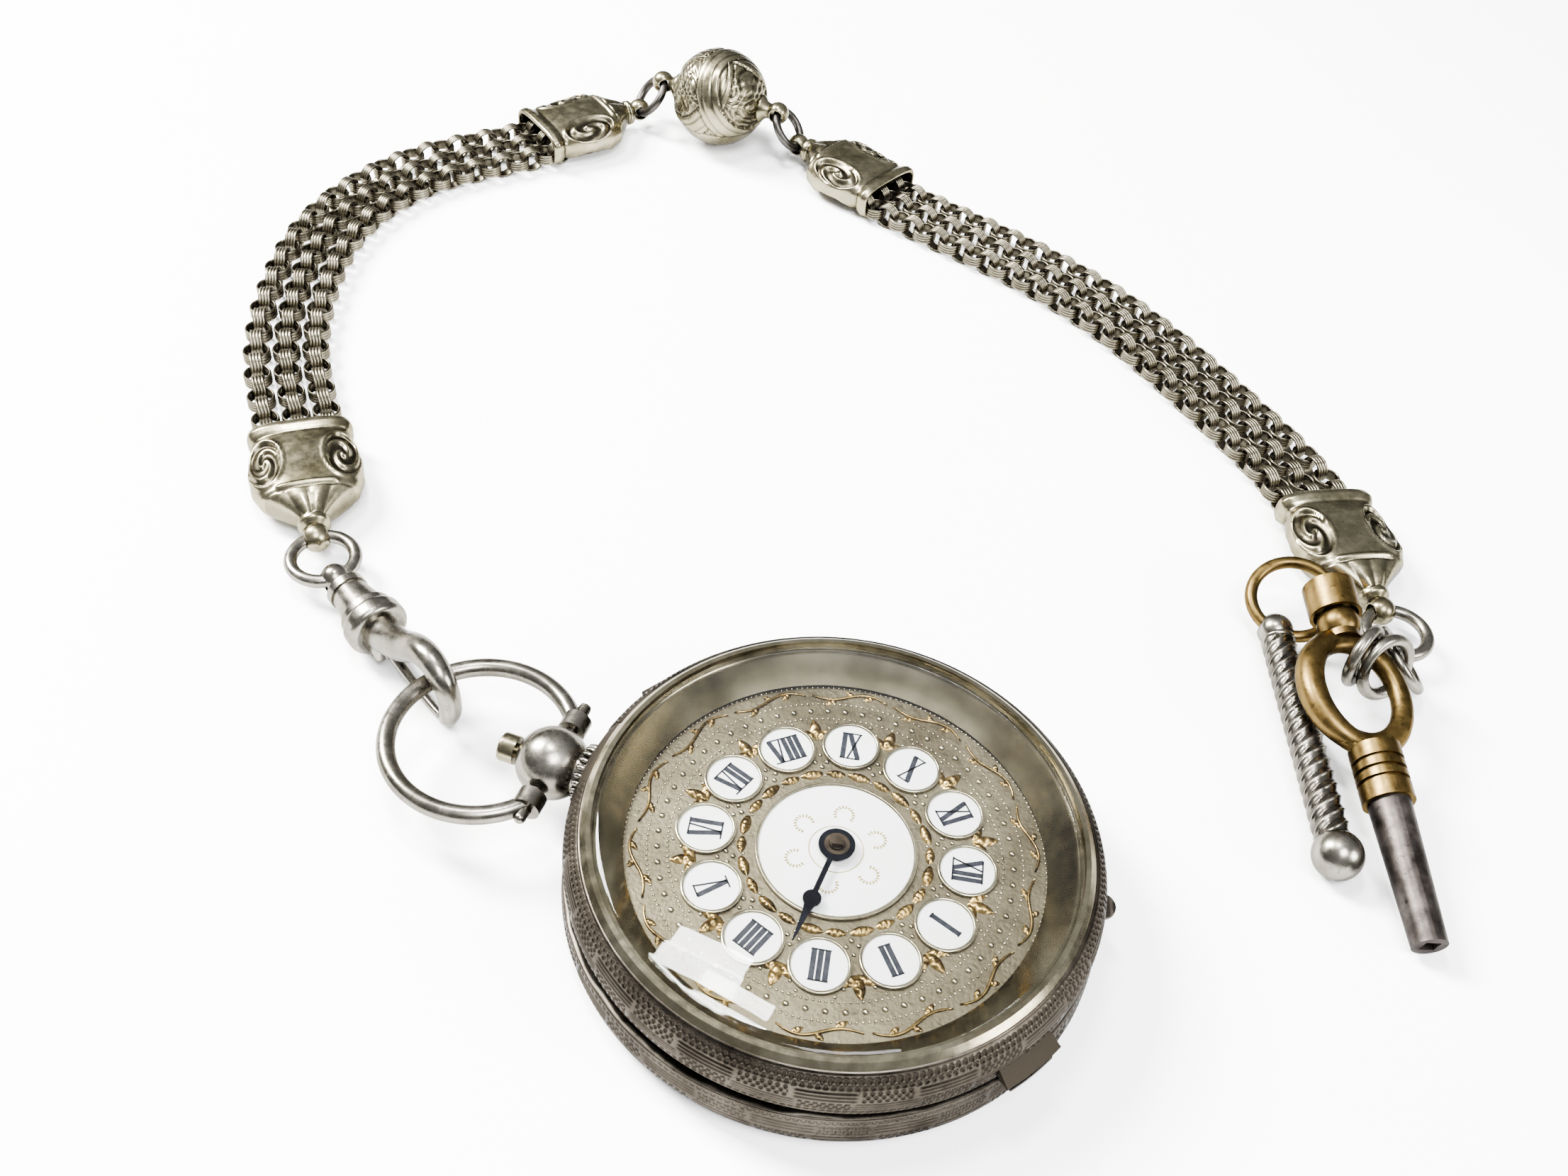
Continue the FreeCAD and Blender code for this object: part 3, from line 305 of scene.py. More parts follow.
def clear_glass(name):
    """Thin watch glass: see-through, with a mirror image that grows towards the edge."""
    look = Look(name)
    tree = look.tree
    tree.nodes.remove(look.shader)
    clear = tree.nodes.new("ShaderNodeBsdfTransparent")
    clear.inputs["Color"].default_value = (0.97, 0.975, 0.965, 1)
    gloss = tree.nodes.new("ShaderNodeBsdfGlossy")
    smears = look.ramp(look.noise(0.12, 5), (0.4, 0.004), (0.75, 0.01))
    look.link(smears, gloss.inputs["Roughness"])
    fresnel = tree.nodes.new("ShaderNodeFresnel")
    fresnel.inputs["IOR"].default_value = 1.22
    mix = tree.nodes.new("ShaderNodeMixShader")
    look.link(fresnel.outputs["Fac"], mix.inputs["Fac"])
    look.link(clear.outputs["BSDF"], mix.inputs[1])
    look.link(gloss.outputs["BSDF"], mix.inputs[2])
    look.link(mix.outputs["Shader"], tree.nodes["Material Output"].inputs["Surface"])
    return look.material


SILVER = metal("worn_silver", (0.16, 0.15, 0.127), (0.085, 0.078, 0.062), (0.17, 0.33))
ENGRAVED = metal("engraved_silver", FLANK_BRIGHT, FLANK_DULL, (0.24, 0.42),
                 niello=(0.0035, 0.003, 0.0025))
TURNED_SILVER = metal("engine_turned_silver", (0.05, 0.044, 0.035), (0.022, 0.0185, 0.0145),
                      (0.25, 0.42), rings=1.6)
CASE_SILVER = metal("tarnished_case_silver", (0.23, 0.205, 0.145), (0.12, 0.104, 0.066), (0.13, 0.24),
                    grain=0, dark_from=CASE_TOP_R)
CHAIN_SILVER = metal("chain_silver", (0.17, 0.152, 0.11), (0.075, 0.065, 0.042), (0.2, 0.4),
                     patch=0.6, niello=(0.008, 0.007, 0.005))
GILT_SILVER = metal("yellowed_silver", (0.19, 0.17, 0.112), (0.095, 0.083, 0.048), (0.18, 0.34),
                    niello=(0.012, 0.01, 0.007))
DARK_SILVER = metal("blackened_silver", (0.05, 0.047, 0.042), (0.025, 0.022, 0.02), (0.25, 0.45))
KEY_BRASS = metal("old_brass", (0.088, 0.057, 0.0175), (0.038, 0.0245, 0.008), (0.24, 0.44))
KEY_STEEL = metal("dark_steel", (0.042, 0.036, 0.033), (0.015, 0.0125, 0.0115), (0.3, 0.5),
                  patch=0.5, grain=0.01)
GILT = metal("gilt_brass", (0.32, 0.22, 0.08), (0.2, 0.135, 0.05), (0.2, 0.4))
DIAL_SILVER = metal("dial_silver", (0.12, 0.104, 0.07), (0.062, 0.052, 0.033), (0.36, 0.55),
                    patch=0.12, grain=0.05)
DIAL_BRIGHT = metal("dial_bead_silver", (0.36, 0.33, 0.25), (0.15, 0.13, 0.09), (0.15, 0.3))
DIAL_GILT = metal("dial_gilding", (0.23, 0.152, 0.05), (0.05, 0.033, 0.011), (0.18, 0.38), patch=0.8)
BLUED = metal("blued_steel", (0.008, 0.009, 0.013), (0.004, 0.004, 0.006), (0.25, 0.4))
BRONZE = metal("bronzed_steel", (0.07, 0.052, 0.038), (0.022, 0.018, 0.014), (0.25, 0.45))
RUBY = enamel("ruby", (0.45, 0.02, 0.06))
WHITE_ENAMEL = enamel("white_enamel", (0.52, 0.54, 0.55))
NUMERAL_INK = paint("numeral_ink", (0.002, 0.0025, 0.006))
FLOWER_GOLD = paint("flower_gold", (0.17, 0.125, 0.03))
GLASS = clear_glass("watch_glass")

FINISHES = {
    CASE_SILVER: "case_middle bezel inner_cover",
    TURNED_SILVER: "back_cover",
    SILVER: "pendant bow bow_screws clip_hook clip_lever clip_rivet clip_swivel hinge_pins "
            "ring_1 ring_4 ring_5 ring_6 ring_7",
    GILT_SILVER: "push_button cap_1 cap_2 cap_3 cap_4 chain_ball t_bar",
    DARK_SILVER: "ring_2 ring_3",
    CHAIN_SILVER: "strand_a_1 strand_a_2 strand_a_3 strand_b_1 strand_b_2 strand_b_3",
    KEY_BRASS: "key_handle key_swivel key_ring",
    KEY_STEEL: "key_pipe",
    DIAL_SILVER: "dial_plate",
    WHITE_ENAMEL: "enamel_discs",
    BLUED: "hour_hand hairspring mainspring click movement_screws",
    BRONZE: "cannon_pinion hour_wheel barrel_arbor ratchet_wheel",
    GILT: "barrel centre_wheel minute_wheel third_wheel fourth_wheel escape_wheel "
          "balance_wheel main_plate barrel_bridge train_bridge balance_cock",
    RUBY: "jewels",
    GLASS: "crystal",
}


def finish_nodes():
    for finish, names in FINISHES.items():
        for name in names.split():
            mesh = NODES[name].data
            mesh.materials.clear()
            mesh.materials.append(finish)


finish_nodes()


# ---------------------------------------------------------------- mesh makers
def piece(name, points, faces, material, body, tarnish=None, smooth=True):
    """A mesh object in millimetres that rides on a CAD body."""
    mesh = bpy.data.meshes.new(name)
    mesh.from_pydata(np.asarray(points, float).reshape(-1, 3) * MM, [], faces)
    mesh.validate()
    mesh.update()
    mesh.polygons.foreach_set("use_smooth", [smooth] * len(mesh.polygons))
    if tarnish is not None:
        layer = mesh.attributes.new("tarnish", "FLOAT", "POINT")
        layer.data.foreach_set("value", np.clip(np.ravel(tarnish), 0, 1).astype(np.float32))
    mesh.materials.append(material)
    obj = bpy.data.objects.new(name, mesh)
    bpy.context.scene.collection.objects.link(obj)
    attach(obj, body)
    return obj


def grid_faces(rows, columns, wrap_rows=False, wrap_columns=False):
    """Quads of a grid of points stored row by row."""
    r = np.arange(rows if wrap_rows else rows - 1)[:, None]
    c = np.arange(columns if wrap_columns else columns - 1)[None, :]
    r1 = (r + 1) % rows
    c1 = (c + 1) % columns
    corners = [r * columns + c, r1 * columns + c, r1 * columns + c1, r * columns + c1]
    return np.stack([k.ravel() for k in corners], 1).tolist()


class Parts:
    """Collects several small meshes into one piece."""

    def __init__(self):
        self.points = []
        self.faces = []
        self.tarnish = []
        self.count = 0

    def add(self, points, faces, tarnish=0.0):
        points = np.asarray(points, float).reshape(-1, 3)
        self.points.append(points)
        self.faces += [[i + self.count for i in face] for face in faces]
        self.tarnish.append(np.broadcast_to(np.ravel(tarnish), (len(points),)))
        self.count += len(points)

    def make(self, name, material, body, smooth=True):
        return piece(name, np.concatenate(self.points), self.faces, material, body,
                     np.concatenate(self.tarnish), smooth)


def bead(parts, centre, radius, flatten=1.0, rings=6, sides=10):
    """A round bead; flatten squeezes its height."""
    down = np.linspace(0, math.pi, rings)[:, None]
    turn = round_turn(sides)[None, :]
    x = np.sin(down) * np.cos(turn) * radius
    y = np.sin(down) * np.sin(turn) * radius
    z = np.cos(down) * np.ones_like(turn) * radius * flatten
    points = np.stack([x, y, z], -1).reshape(-1, 3) + np.array(centre)
    parts.add(points, grid_faces(rings, sides, wrap_columns=True))


def bar(parts, path, radius, sides=8, closed=False, flatten=1.0):
    """A round wire along points; radius may be one number or one for each point."""
    path = [Vector(p) for p in path]
    count = len(path)
    radii = radius if hasattr(radius, "__len__") else [radius] * count
    rows = []
    for i, point in enumerate(path):
        before = path[i - 1] if i or closed else point
        after = path[(i + 1) % count] if i < count - 1 or closed else point
        along = (after - before).normalized()
        side = along.cross(Vector((0, 0, 1)))
        side = side.normalized() if side.length > 1e-3 else Vector((1, 0, 0))
        up = side.cross(along) * flatten
        for k in range(sides):
            a = 2 * math.pi * k / sides
            rows.append(point + (side * math.cos(a) + up * math.sin(a)) * radii[i])
    faces = grid_faces(count, sides, wrap_rows=closed, wrap_columns=True)
    if not closed:
        faces.append(list(range(sides))[::-1])
        faces.append([(count - 1) * sides + k for k in range(sides)])
    parts.add([tuple(p) for p in rows], faces)


LEAF_ROWS = 15
LEAF_COLUMNS = 7


def flat_leaf(parts, base, direction, length, width, height, veins):
    """A raised leaf on the dial, ridged across like chased metal."""
    direction = direction.normalized()
    side = Vector((-direction.y, direction.x, 0))
    points = []
    for i in range(LEAF_ROWS):
        along = i / (LEAF_ROWS - 1)
        half = 0.5 * width * math.sin(math.pi * min(1, 0.06 + along * 0.94)) ** 0.7
        for j in range(LEAF_COLUMNS):
            across = 2 * j / (LEAF_COLUMNS - 1) - 1
            ridge = 0.72 + 0.28 * math.cos(2 * math.pi * veins * (along + 0.12 * abs(across)))
            z = height * (1 - across ** 2) * math.sin(math.pi * along) ** 0.5 * ridge
            place = base + direction * (along - 0.5) * length + side * across * half
            points.append((place.x, place.y, place.z + z))
    parts.add(points, grid_faces(LEAF_ROWS, LEAF_COLUMNS))


# ---------------------------------------------------------------- engraved bands of the case
DOT_PITCH = 1.5         # degrees from one engraved square to the next
PANEL = 24              # degrees from one panel of lines to the next
SKIN_SUNK = 0.06        # how far a skin's rim lies under the flank
SKIN_RISE = 0.13        # from the rim to the uncut surface
CUT_DEPTH = 0.1


def barleycorn(angle, v, low, high, rows):
    """Dark squares in staggered rows between two heights of the band."""
    share = (v - low) / (high - low) * rows
    row = np.floor(share)
    inside = (share >= 0) & (share < rows)
    across = (angle / DOT_PITCH + 0.5 * row) % 1 - 0.5
    upright = share - row - 0.5
    mark = bump(across, 0.46) * bump(upright, 0.66)
    return np.where(inside, np.clip(2.4 * mark, 0, 1), 0)


def panels(angle, v, low, high, phase):
    """A tier that alternates three engraved lines with a patch of dots."""
    share = (v - low) / (high - low)
    inside = (share > 0) & (share < 1)
    where = (angle / PANEL + phase) % 1
    line_part = where < 0.58
    lines = bump((share * 3) % 1 - 0.5, 0.48) * smooth_step(where, 0.02, 0.06)
    lines = lines * (1 - smooth_step(where, 0.52, 0.57))
    dots = barleycorn(angle, v, low, high, 3)
    return np.where(inside, np.where(line_part, 0.85 * lines, dots), 0)


def edge_height(angle, level, rise):
    """Height of a shell's slanted edge all round the case."""
    return level + rise * np.cos(np.radians(angle_from(angle, EDGE_SLANT_ANGLE)))


def engraved_band(name, profile, marks, low_edge, high_edge, body, turns=1800, rows=46):
    """A chased skin on a flank of the case.

    profile gives the radius and the outward normal at a height, marks gives how deep each point is
    cut, and the two edges give the heights between which the skin runs at a direction. The skin is
    open at the pendant.
    """
    angle = np.linspace(0, 360, turns, endpoint=False)[:, None]
    v = np.linspace(0, 1, rows)[None, :]
    z = low_edge(angle) + (high_edge(angle) - low_edge(angle)) * v
    radius, slope_r, slope_z = profile(z)
    cut = marks(angle, v)
    rim = np.minimum(smooth_step(v, 0, 0.03), 1 - smooth_step(v, 0.97, 1.0))
    proud = rim * (SKIN_RISE - CUT_DEPTH * cut) - SKIN_SUNK
    radius = radius + slope_r * proud
    z = z + slope_z * proud
    a = np.radians(angle + 0 * v)
    points = np.stack([radius * np.cos(a), radius * np.sin(a), z], -1)
    in_gap = np.abs(angle_from(angle, PENDANT_ANGLE))[:, 0] <= PENDANT_HALF_GAP
    gap = int(in_gap.sum())
    past_gap = int(np.argmax(in_gap)) + gap
    order = [(past_gap + i) % turns for i in range(turns - gap)]
    piece(name, points[order], grid_faces(len(order), rows), ENGRAVED, body,
          (cut * rim)[order])


def curve_profile(outline):
    """Radius and outward normal of a flank outline, as functions of height."""
    radii = np.array([p[0] for p in outline])
    heights = np.array([p[1] for p in outline])

    def at(z):
        radius = np.interp(z, heights, radii)
        slope = (np.interp(z + 0.05, heights, radii) - np.interp(z - 0.05, heights, radii)) / 0.1
        length = np.sqrt(1 + slope ** 2)
        return radius, 1 / length, -slope / length

    return at


def through_three(start, middle, end, count):
    """Points on the circle through three (r, z) points."""
    (ax, ay), (bx, by), (cx, cy) = start, middle, end
    d = 2 * (ax * (by - cy) + bx * (cy - ay) + cx * (ay - by))
    ux = ((ax**2 + ay**2) * (by - cy) + (bx**2 + by**2) * (cy - ay) + (cx**2 + cy**2) * (ay - by)) / d
    uy = ((ax**2 + ay**2) * (cx - bx) + (bx**2 + by**2) * (ax - cx) + (cx**2 + cy**2) * (bx - ax)) / d
    radius = math.hypot(ax - ux, ay - uy)
    a0 = math.atan2(ay - uy, ax - ux)
    a1 = math.atan2(cy - uy, cx - ux)
    sweep = (a1 - a0 + math.pi) % (2 * math.pi) - math.pi
    return [(ux + radius * math.cos(a0 + sweep * i / count), uy + radius * math.sin(a0 + sweep * i / count))
            for i in range(count + 1)]


BEZEL_FLANK = [(21.0, 5.3)] + through_three((21.1, 6.6), (20.85, 8.3), (19.75, RIM_Z - 0.3), 16)
BACK_FLANK = through_three((19.0, 0.35), (20.75, 1.1), (21.3, 2.6), 16) + [(21.1, 5.6)]


def bezel_marks(angle, v):
    cut = barleycorn(angle, v, 0.72, 0.91, 2)
    cut = np.maximum(cut, panels(angle, v, 0.44, 0.70, 0.0))
    cut = np.maximum(cut, panels(angle, v, 0.17, 0.42, 0.5))
    cut = np.maximum(cut, barleycorn(angle, v, 0.05, 0.15, 1))
    return np.maximum(cut, 0.9 * bump(v - 0.945, 0.025))


def back_marks(angle, v):
    cut = barleycorn(angle, v, 0.84, 0.94, 1)
    cut = np.maximum(cut, panels(angle, v, 0.54, 0.80, 0.3))
    cut = np.maximum(cut, panels(angle, v, 0.26, 0.52, 0.8))
    return np.maximum(cut, barleycorn(angle, v, 0.06, 0.24, 2))


def at_hinge(angle):
    """1 beside the hinges, 0 elsewhere."""
    return 1 - smooth_step(np.abs(angle_from(angle, HINGE_ANGLE)), *HINGE_HALF_GAP)


def bezel_low_edge(angle):
    slanted = edge_height(angle, 6.2, -0.5) + 0.03
    return np.maximum(slanted, 7.5 * at_hinge(angle))


def back_high_edge(angle):
    return edge_height(angle, 4.45, 0.75) - 0.05 - 0.75 * at_hinge(angle)


engraved_band("bezel_engraving", curve_profile(BEZEL_FLANK), bezel_marks, bezel_low_edge,
              lambda angle: 9.66 + 0 * angle, "bezel_assembly")
engraved_band("back_engraving", curve_profile(BACK_FLANK), back_marks,
              lambda angle: 0.42 + 0 * angle, back_high_edge, "back")


# ---------------------------------------------------------------- dial
def dial_point(radius, angle, up=0.0):
    return polar(radius, angle, DIAL_Z + up)


DOTTED_CIRCLES = (      # radius, number of beads, bead radius
    (13.15, 180, 0.12), (14.75, 200, 0.12), (16.55, 230, 0.11), (13.95, 60, 0.26), (7.25, 36, 0.13),
)
BEADS_BETWEEN = (       # radius, degrees either side of the line between two discs, bead radius
    (8.6, -3.2, 0.2), (8.6, 3.2, 0.2), (8.1, 0, 0.22), (9.3, 0, 0.18),
    (12.1, -5.6, 0.16), (12.1, 5.6, 0.16), (12.75, -8.5, 0.14), (12.75, 8.5, 0.14),
)


def dial_beads():
    """Dotted circles, and groups of beads between the numeral discs."""
    parts = Parts()
    for radius, count, size in DOTTED_CIRCLES:
        for i in range(count):
            bead(parts, dial_point(radius, 360 * i / count, 0.01), size, 0.7, 5, 8)
    for hour in range(HOURS):
        for radius, offset, size in BEADS_BETWEEN:
            place = dial_point(radius, hour_angle(hour + 0.5) + offset, 0.02)
            bead(parts, place, size, 0.8, 6, 9)
    parts.make("dial_beads", DIAL_BRIGHT, "case")


def dial_leaves():
    """Gilt leaves between the numeral discs and chased segments round the centre disc."""
    parts = Parts()
    for hour in range(HOURS):
        middle = hour_angle(hour + 0.5)
        outward = polar(1, middle)
        across = polar(1, middle + 90)
        flat_leaf(parts, dial_point(12.0, middle, 0.02), outward, 2.1, 0.95, 0.34, 3)
        for side in (-1, 1):
            turned = (outward * 0.55 + across * side).normalized()
            flat_leaf(parts, dial_point(11.5, middle + side * 3.6, 0.02), turned, 1.6, 0.8, 0.28, 3)
        flat_leaf(parts, dial_point(7.4, middle + 7.5, 0.02), polar(1, middle + 98), 1.9, 0.85, 0.36, 5)
        flat_leaf(parts, dial_point(7.4, middle - 8.0, 0.02), polar(1, middle + 78), 1.6, 0.75, 0.3, 4)
    parts.make("dial_leaves", DIAL_GILT, "case")


SCROLLS = 14
SCROLL_SPAN = 23.5      # degrees that one scroll runs round the dial
SCROLL_R = 15.65
SCROLL_WAVE = 0.42
SCROLL_LEAVES = ((0.25, 35, 1.0), (0.5, -40, 0.9), (0.75, 30, 1.1))     # share along, lean, length
LEAF_OFFSET = 0.32


def scroll_point(start, share, up, aside=0.0):
    """A point a share of the way along the scroll that begins at a direction."""
    radius = SCROLL_R + SCROLL_WAVE * math.sin(2 * math.pi * share) + aside
    return dial_point(radius, start + SCROLL_SPAN * share, up)


def dial_scrolls():
    """Wavy gilt foliage between the outer dotted circles."""
    parts = Parts()
    shares = [k / 18 for k in range(19)]
    thickness = [0.08 + 0.06 * math.sin(math.pi * share) for share in shares]
    for i in range(SCROLLS):
        start = 360 * i / SCROLLS
        bar(parts, [scroll_point(start, share, 0.05) for share in shares], thickness, 6)
        for share, lean, length in SCROLL_LEAVES:
            base = scroll_point(start, share, 0.02, math.copysign(LEAF_OFFSET, -lean))
            growth = polar(1, start + SCROLL_SPAN * share + 90 + lean)
            flat_leaf(parts, base, growth, length, 0.5, 0.2, 3)
    parts.make("dial_scrolls", DIAL_GILT, "case")


NUMERALS = ("XII", "I", "II", "III", "IIII", "V", "VI", "VII", "VIII", "IX", "X", "XI")
LETTER_WIDTHS = {"I": 0.52, "V": 1.15, "X": 1.15}
STROKE_HALF_HEIGHT = 1.3
THICK_STROKE = 0.42
THIN_STROKE = 0.16
SERIF = 0.14


def stroke(parts, centre, angle, start, end, width):
    """A painted bar on a numeral disc; x runs along the circle and y outwards."""
    outward = polar(1, angle)
    along = polar(1, angle - 90)
    a = centre + along * start[0] + outward * start[1]
    b = centre + along * end[0] + outward * end[1]
    side = (b - a).normalized().cross(Vector((0, 0, 1))) * (width / 2)
    points = [a - side, a + side, b + side, b - side]
    parts.add([tuple(p) for p in points], [[0, 1, 2, 3]])


def numeral(parts, centre, angle, letters):
    """Roman numeral with thick and thin strokes and hairline serifs, its foot towards the centre."""
    total = sum(LETTER_WIDTHS[c] for c in letters)
    x = -total / 2
    h = STROKE_HALF_HEIGHT * (0.9 if total > 2 else 1.0)
    for letter in letters:
        w = LETTER_WIDTHS[letter]
        middle = x + w / 2
        if letter == "I":
            strokes = [((middle, -h), (middle, h), THICK_STROKE)]
        elif letter == "V":
            strokes = [((x + 0.16, h), (middle + 0.03, -h), THICK_STROKE),
                       ((x + w - 0.12, h), (middle + 0.08, -h), THIN_STROKE)]
        else:
            strokes = [((x + 0.14, h), (x + w - 0.14, -h), THICK_STROKE),
                       ((x + w - 0.14, h), (x + 0.14, -h), THIN_STROKE)]
        for start, end, width in strokes:
            stroke(parts, centre, angle, start, end, width)
        x += w
    for level in (-h, h):
        stroke(parts, centre, angle, (-total / 2, level), (total / 2, level), SERIF)


def numerals():
    parts = Parts()
    for hour, letters in enumerate(NUMERALS):
        angle = hour_angle(hour)
        numeral(parts, dial_point(DISC_RING_R, angle, DISC_TOP + 0.012), angle, letters)
    parts.make("numerals", NUMERAL_INK, "case", smooth=False)


PETALS = 6
PETAL_AT = 3.35             # radius of the scallops' centres
PETAL_DASH = (0.62, 0.86)   # inner and outer radius of the dashes that draw a scallop
FLOWER_RING_R = 2.15
FLOWER_Z = 0.165


def centre_flower():
    """A faint gold six-scalloped flower painted on the centre disc."""
    parts = Parts()
    for i in range(PETALS):
        angle = 360 / PETALS * i + 22
        middle = dial_point(PETAL_AT, angle, FLOWER_Z + 0.01)
        for lean in range(-120, 121, 20):
            ends = [middle + polar(radius, angle + lean) for radius in PETAL_DASH]
            bar(parts, ends, 0.075, 5, flatten=0.3)
    circle = [dial_point(FLOWER_RING_R, 6 * k, FLOWER_Z) for k in range(60)]
    bar(parts, circle, 0.045, 5, closed=True, flatten=0.3)
    parts.make("centre_flower", FLOWER_GOLD, "case")


def disc_rims():
    """Rounded silver rims that hold the numeral discs and the centre disc."""
    parts = Parts()
    for hour in range(HOURS):
        centre = dial_point(DISC_RING_R, hour_angle(hour), DISC_TOP)
        bar(parts, [centre + polar(DISC_R + 0.13, 10 * k) for k in range(36)], 0.15, 8, closed=True)
    rim = [dial_point(CENTRE_DISC_R + 0.15, 5 * k, DISC_TOP) for k in range(72)]
    bar(parts, rim, 0.16, 8, closed=True)
    parts.make("disc_rims", DIAL_BRIGHT, "case")


dial_beads()
disc_rims()
dial_leaves()
dial_scrolls()
numerals()
centre_flower()


# ---------------------------------------------------------------- chain
def islands(node):
    """Point sets of the separate solids in a CAD node, in millimetres."""
    mesh = NODES[node].data
    points = np.empty(len(mesh.vertices) * 3)
    mesh.vertices.foreach_get("co", points)
    points = points.reshape(-1, 3) / MM
    _, same = np.unique(np.round(points, 4), axis=0, return_inverse=True)
    same = same.ravel()
    edges = np.empty(len(mesh.edges) * 2, int)
    mesh.edges.foreach_get("vertices", edges)
    edges = same[edges.reshape(-1, 2)]
    label = np.arange(same.max() + 1)
    while True:
        low = np.minimum(label[edges[:, 0]], label[edges[:, 1]])
        new = label.copy()
        np.minimum.at(new, edges[:, 0], low)
        np.minimum.at(new, edges[:, 1], low)
        new = new[new]
        if (new == label).all():
            break
        label = new
    groups = label[same]
    return [points[groups == g] for g in np.unique(groups)]


def link_places(node):
    """Centre and axis of each link in a strand node."""
    places = []
    for points in islands(node):
        centre = (points.min(0) + points.max(0)) / 2
        spread = np.linalg.svd(np.unique(np.round(points, 4), axis=0) - centre, full_matrices=False)
        directions = spread[2]
        reach = [np.ptp((points - centre) @ d) for d in directions]
        places.append((centre, directions[int(np.argmin(reach))]))
    return places


RIB_HEIGHT = 0.11
RIB_STEPS = 20


def ribbed_link():
    """Cross-section of a belcher link as (r, z, tarnish): four rounded ribs outside, plain inside."""
    half = LINK_WIDTH / 2
    outline = []
    for i in range(RIB_STEPS + 1):
        share = i / RIB_STEPS
        rib = abs(math.sin(4 * math.pi * share))
        radius = LINK_R - RIB_HEIGHT + RIB_HEIGHT * rib ** 0.6
        outline.append((radius, half * (2 * share - 1), 1 - rib ** 0.5))
    outline.append((LINK_BORE + 0.04, half, 0.3))
    outline.append((LINK_BORE, half * 0.8, 0.6))
    outline.append((LINK_BORE, -half * 0.8, 0.6))
    outline.append((LINK_BORE + 0.04, -half, 0.3))
    return np.array(outline)


def chain_links(node, sides=22):
    """Ribbed links in the places of a strand node's plain ones."""
    section = ribbed_link()
    parts = Parts()
    turn = round_turn(sides)[:, None]
    faces = grid_faces(sides, len(section), wrap_rows=True, wrap_columns=True)
    for centre, axis in link_places(node):
        first = np.cross(axis, (0.0, 0.3, 1.0) if abs(axis[2]) < 0.8 else (1.0, 0.0, 0.0))
        first /= np.linalg.norm(first)
        second = np.cross(axis, first)
        radial = np.cos(turn)[..., None] * first + np.sin(turn)[..., None] * second
        points = centre + radial * section[None, :, 0, None] + axis * section[None, :, 1, None]
        dark = np.broadcast_to(section[None, :, 2], (sides, len(section)))
        parts.add(points, faces, dark)
    obj = parts.make(node.replace("strand", "links"), CHAIN_SILVER, body_of(node))
    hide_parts(node)


for section_name in ("a", "b"):
    for strand in (1, 2, 3):
        chain_links(f"strand_{section_name}_{strand}")


# ---------------------------------------------------------------- crystal
GLASS_OUTER = ((0.0, 11.6), (10.0, 11.02), (18.2, 9.75))      # centre, half way, edge
GLASS_INNER = ((18.2, 9.52), (10.0, 10.62), (0.0, 11.15))      # edge, half way, centre
GLASS_EDGE = [(18.9, 9.72), (18.92, 9.57)]
GLASS_STEPS = 48
GLASS_SIDES = 180


def crystal():
    """The domed glass, as one smooth shell."""
    outer = through_three(*GLASS_OUTER, GLASS_STEPS)
    inner = through_three(*GLASS_INNER, GLASS_STEPS)
    outline = np.array(outer + GLASS_EDGE + inner)
    turn = round_turn(GLASS_SIDES)[:, None]
    x = outline[None, :, 0] * np.cos(turn)
    y = outline[None, :, 0] * np.sin(turn)
    z = outline[None, :, 1] + 0 * turn
    faces = grid_faces(GLASS_SIDES, len(outline), wrap_rows=True)
    obj = piece("crystal_dome", np.stack([x, y, z], -1), faces, GLASS, "bezel_assembly")
    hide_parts("crystal")


crystal()


# ---------------------------------------------------------------- caps, ball, T-bar
def frame_of(origin, angle):
    """Turns local points, x along a level direction and z up, into the part's frame."""
    a = math.radians(angle)
    turn = np.array([[math.cos(a), -math.sin(a), 0], [math.sin(a), math.cos(a), 0], [0, 0, 1]])
    return lambda points: np.asarray(points) @ turn.T + np.array(origin)


def revolved_grid(outline, centre, axis, sides=32, wrap=False):
    """Points and faces of an (r, s) outline turned about an axis through centre."""
    axis = np.array(axis, float) / np.linalg.norm(axis)
    first = np.cross(axis, (0.0, 0.0, 1.0) if abs(axis[2]) < 0.9 else (1.0, 0.0, 0.0))
    first /= np.linalg.norm(first)
    second = np.cross(axis, first)
    turn = round_turn(sides)[:, None, None]
    outline = np.array(outline, float)
    radial = np.cos(turn) * first + np.sin(turn) * second
    points = np.array(centre) + radial * outline[None, :, 0, None] + axis * outline[None, :, 1, None]
    return points, grid_faces(sides, len(outline), wrap_rows=True, wrap_columns=wrap)


KNUCKLE_R = 1.4
KNUCKLE_BORE = 0.86


def bored_bead(parts, centre, axis, radius=KNUCKLE_R, bore=KNUCKLE_BORE):
    """A round knuckle with a hole through it."""
    reach = math.asin(bore / radius)
    outline = [(radius * math.sin(a), radius * math.cos(a))
               for a in np.linspace(reach, math.pi - reach, 16)]
    outline = [(bore - 0.03, 0.9 * outline[0][1])] + outline + [(bore - 0.03, 0.9 * outline[-1][1])]
    points, faces = revolved_grid(outline, centre, axis, wrap=True)
    parts.add(points, faces)


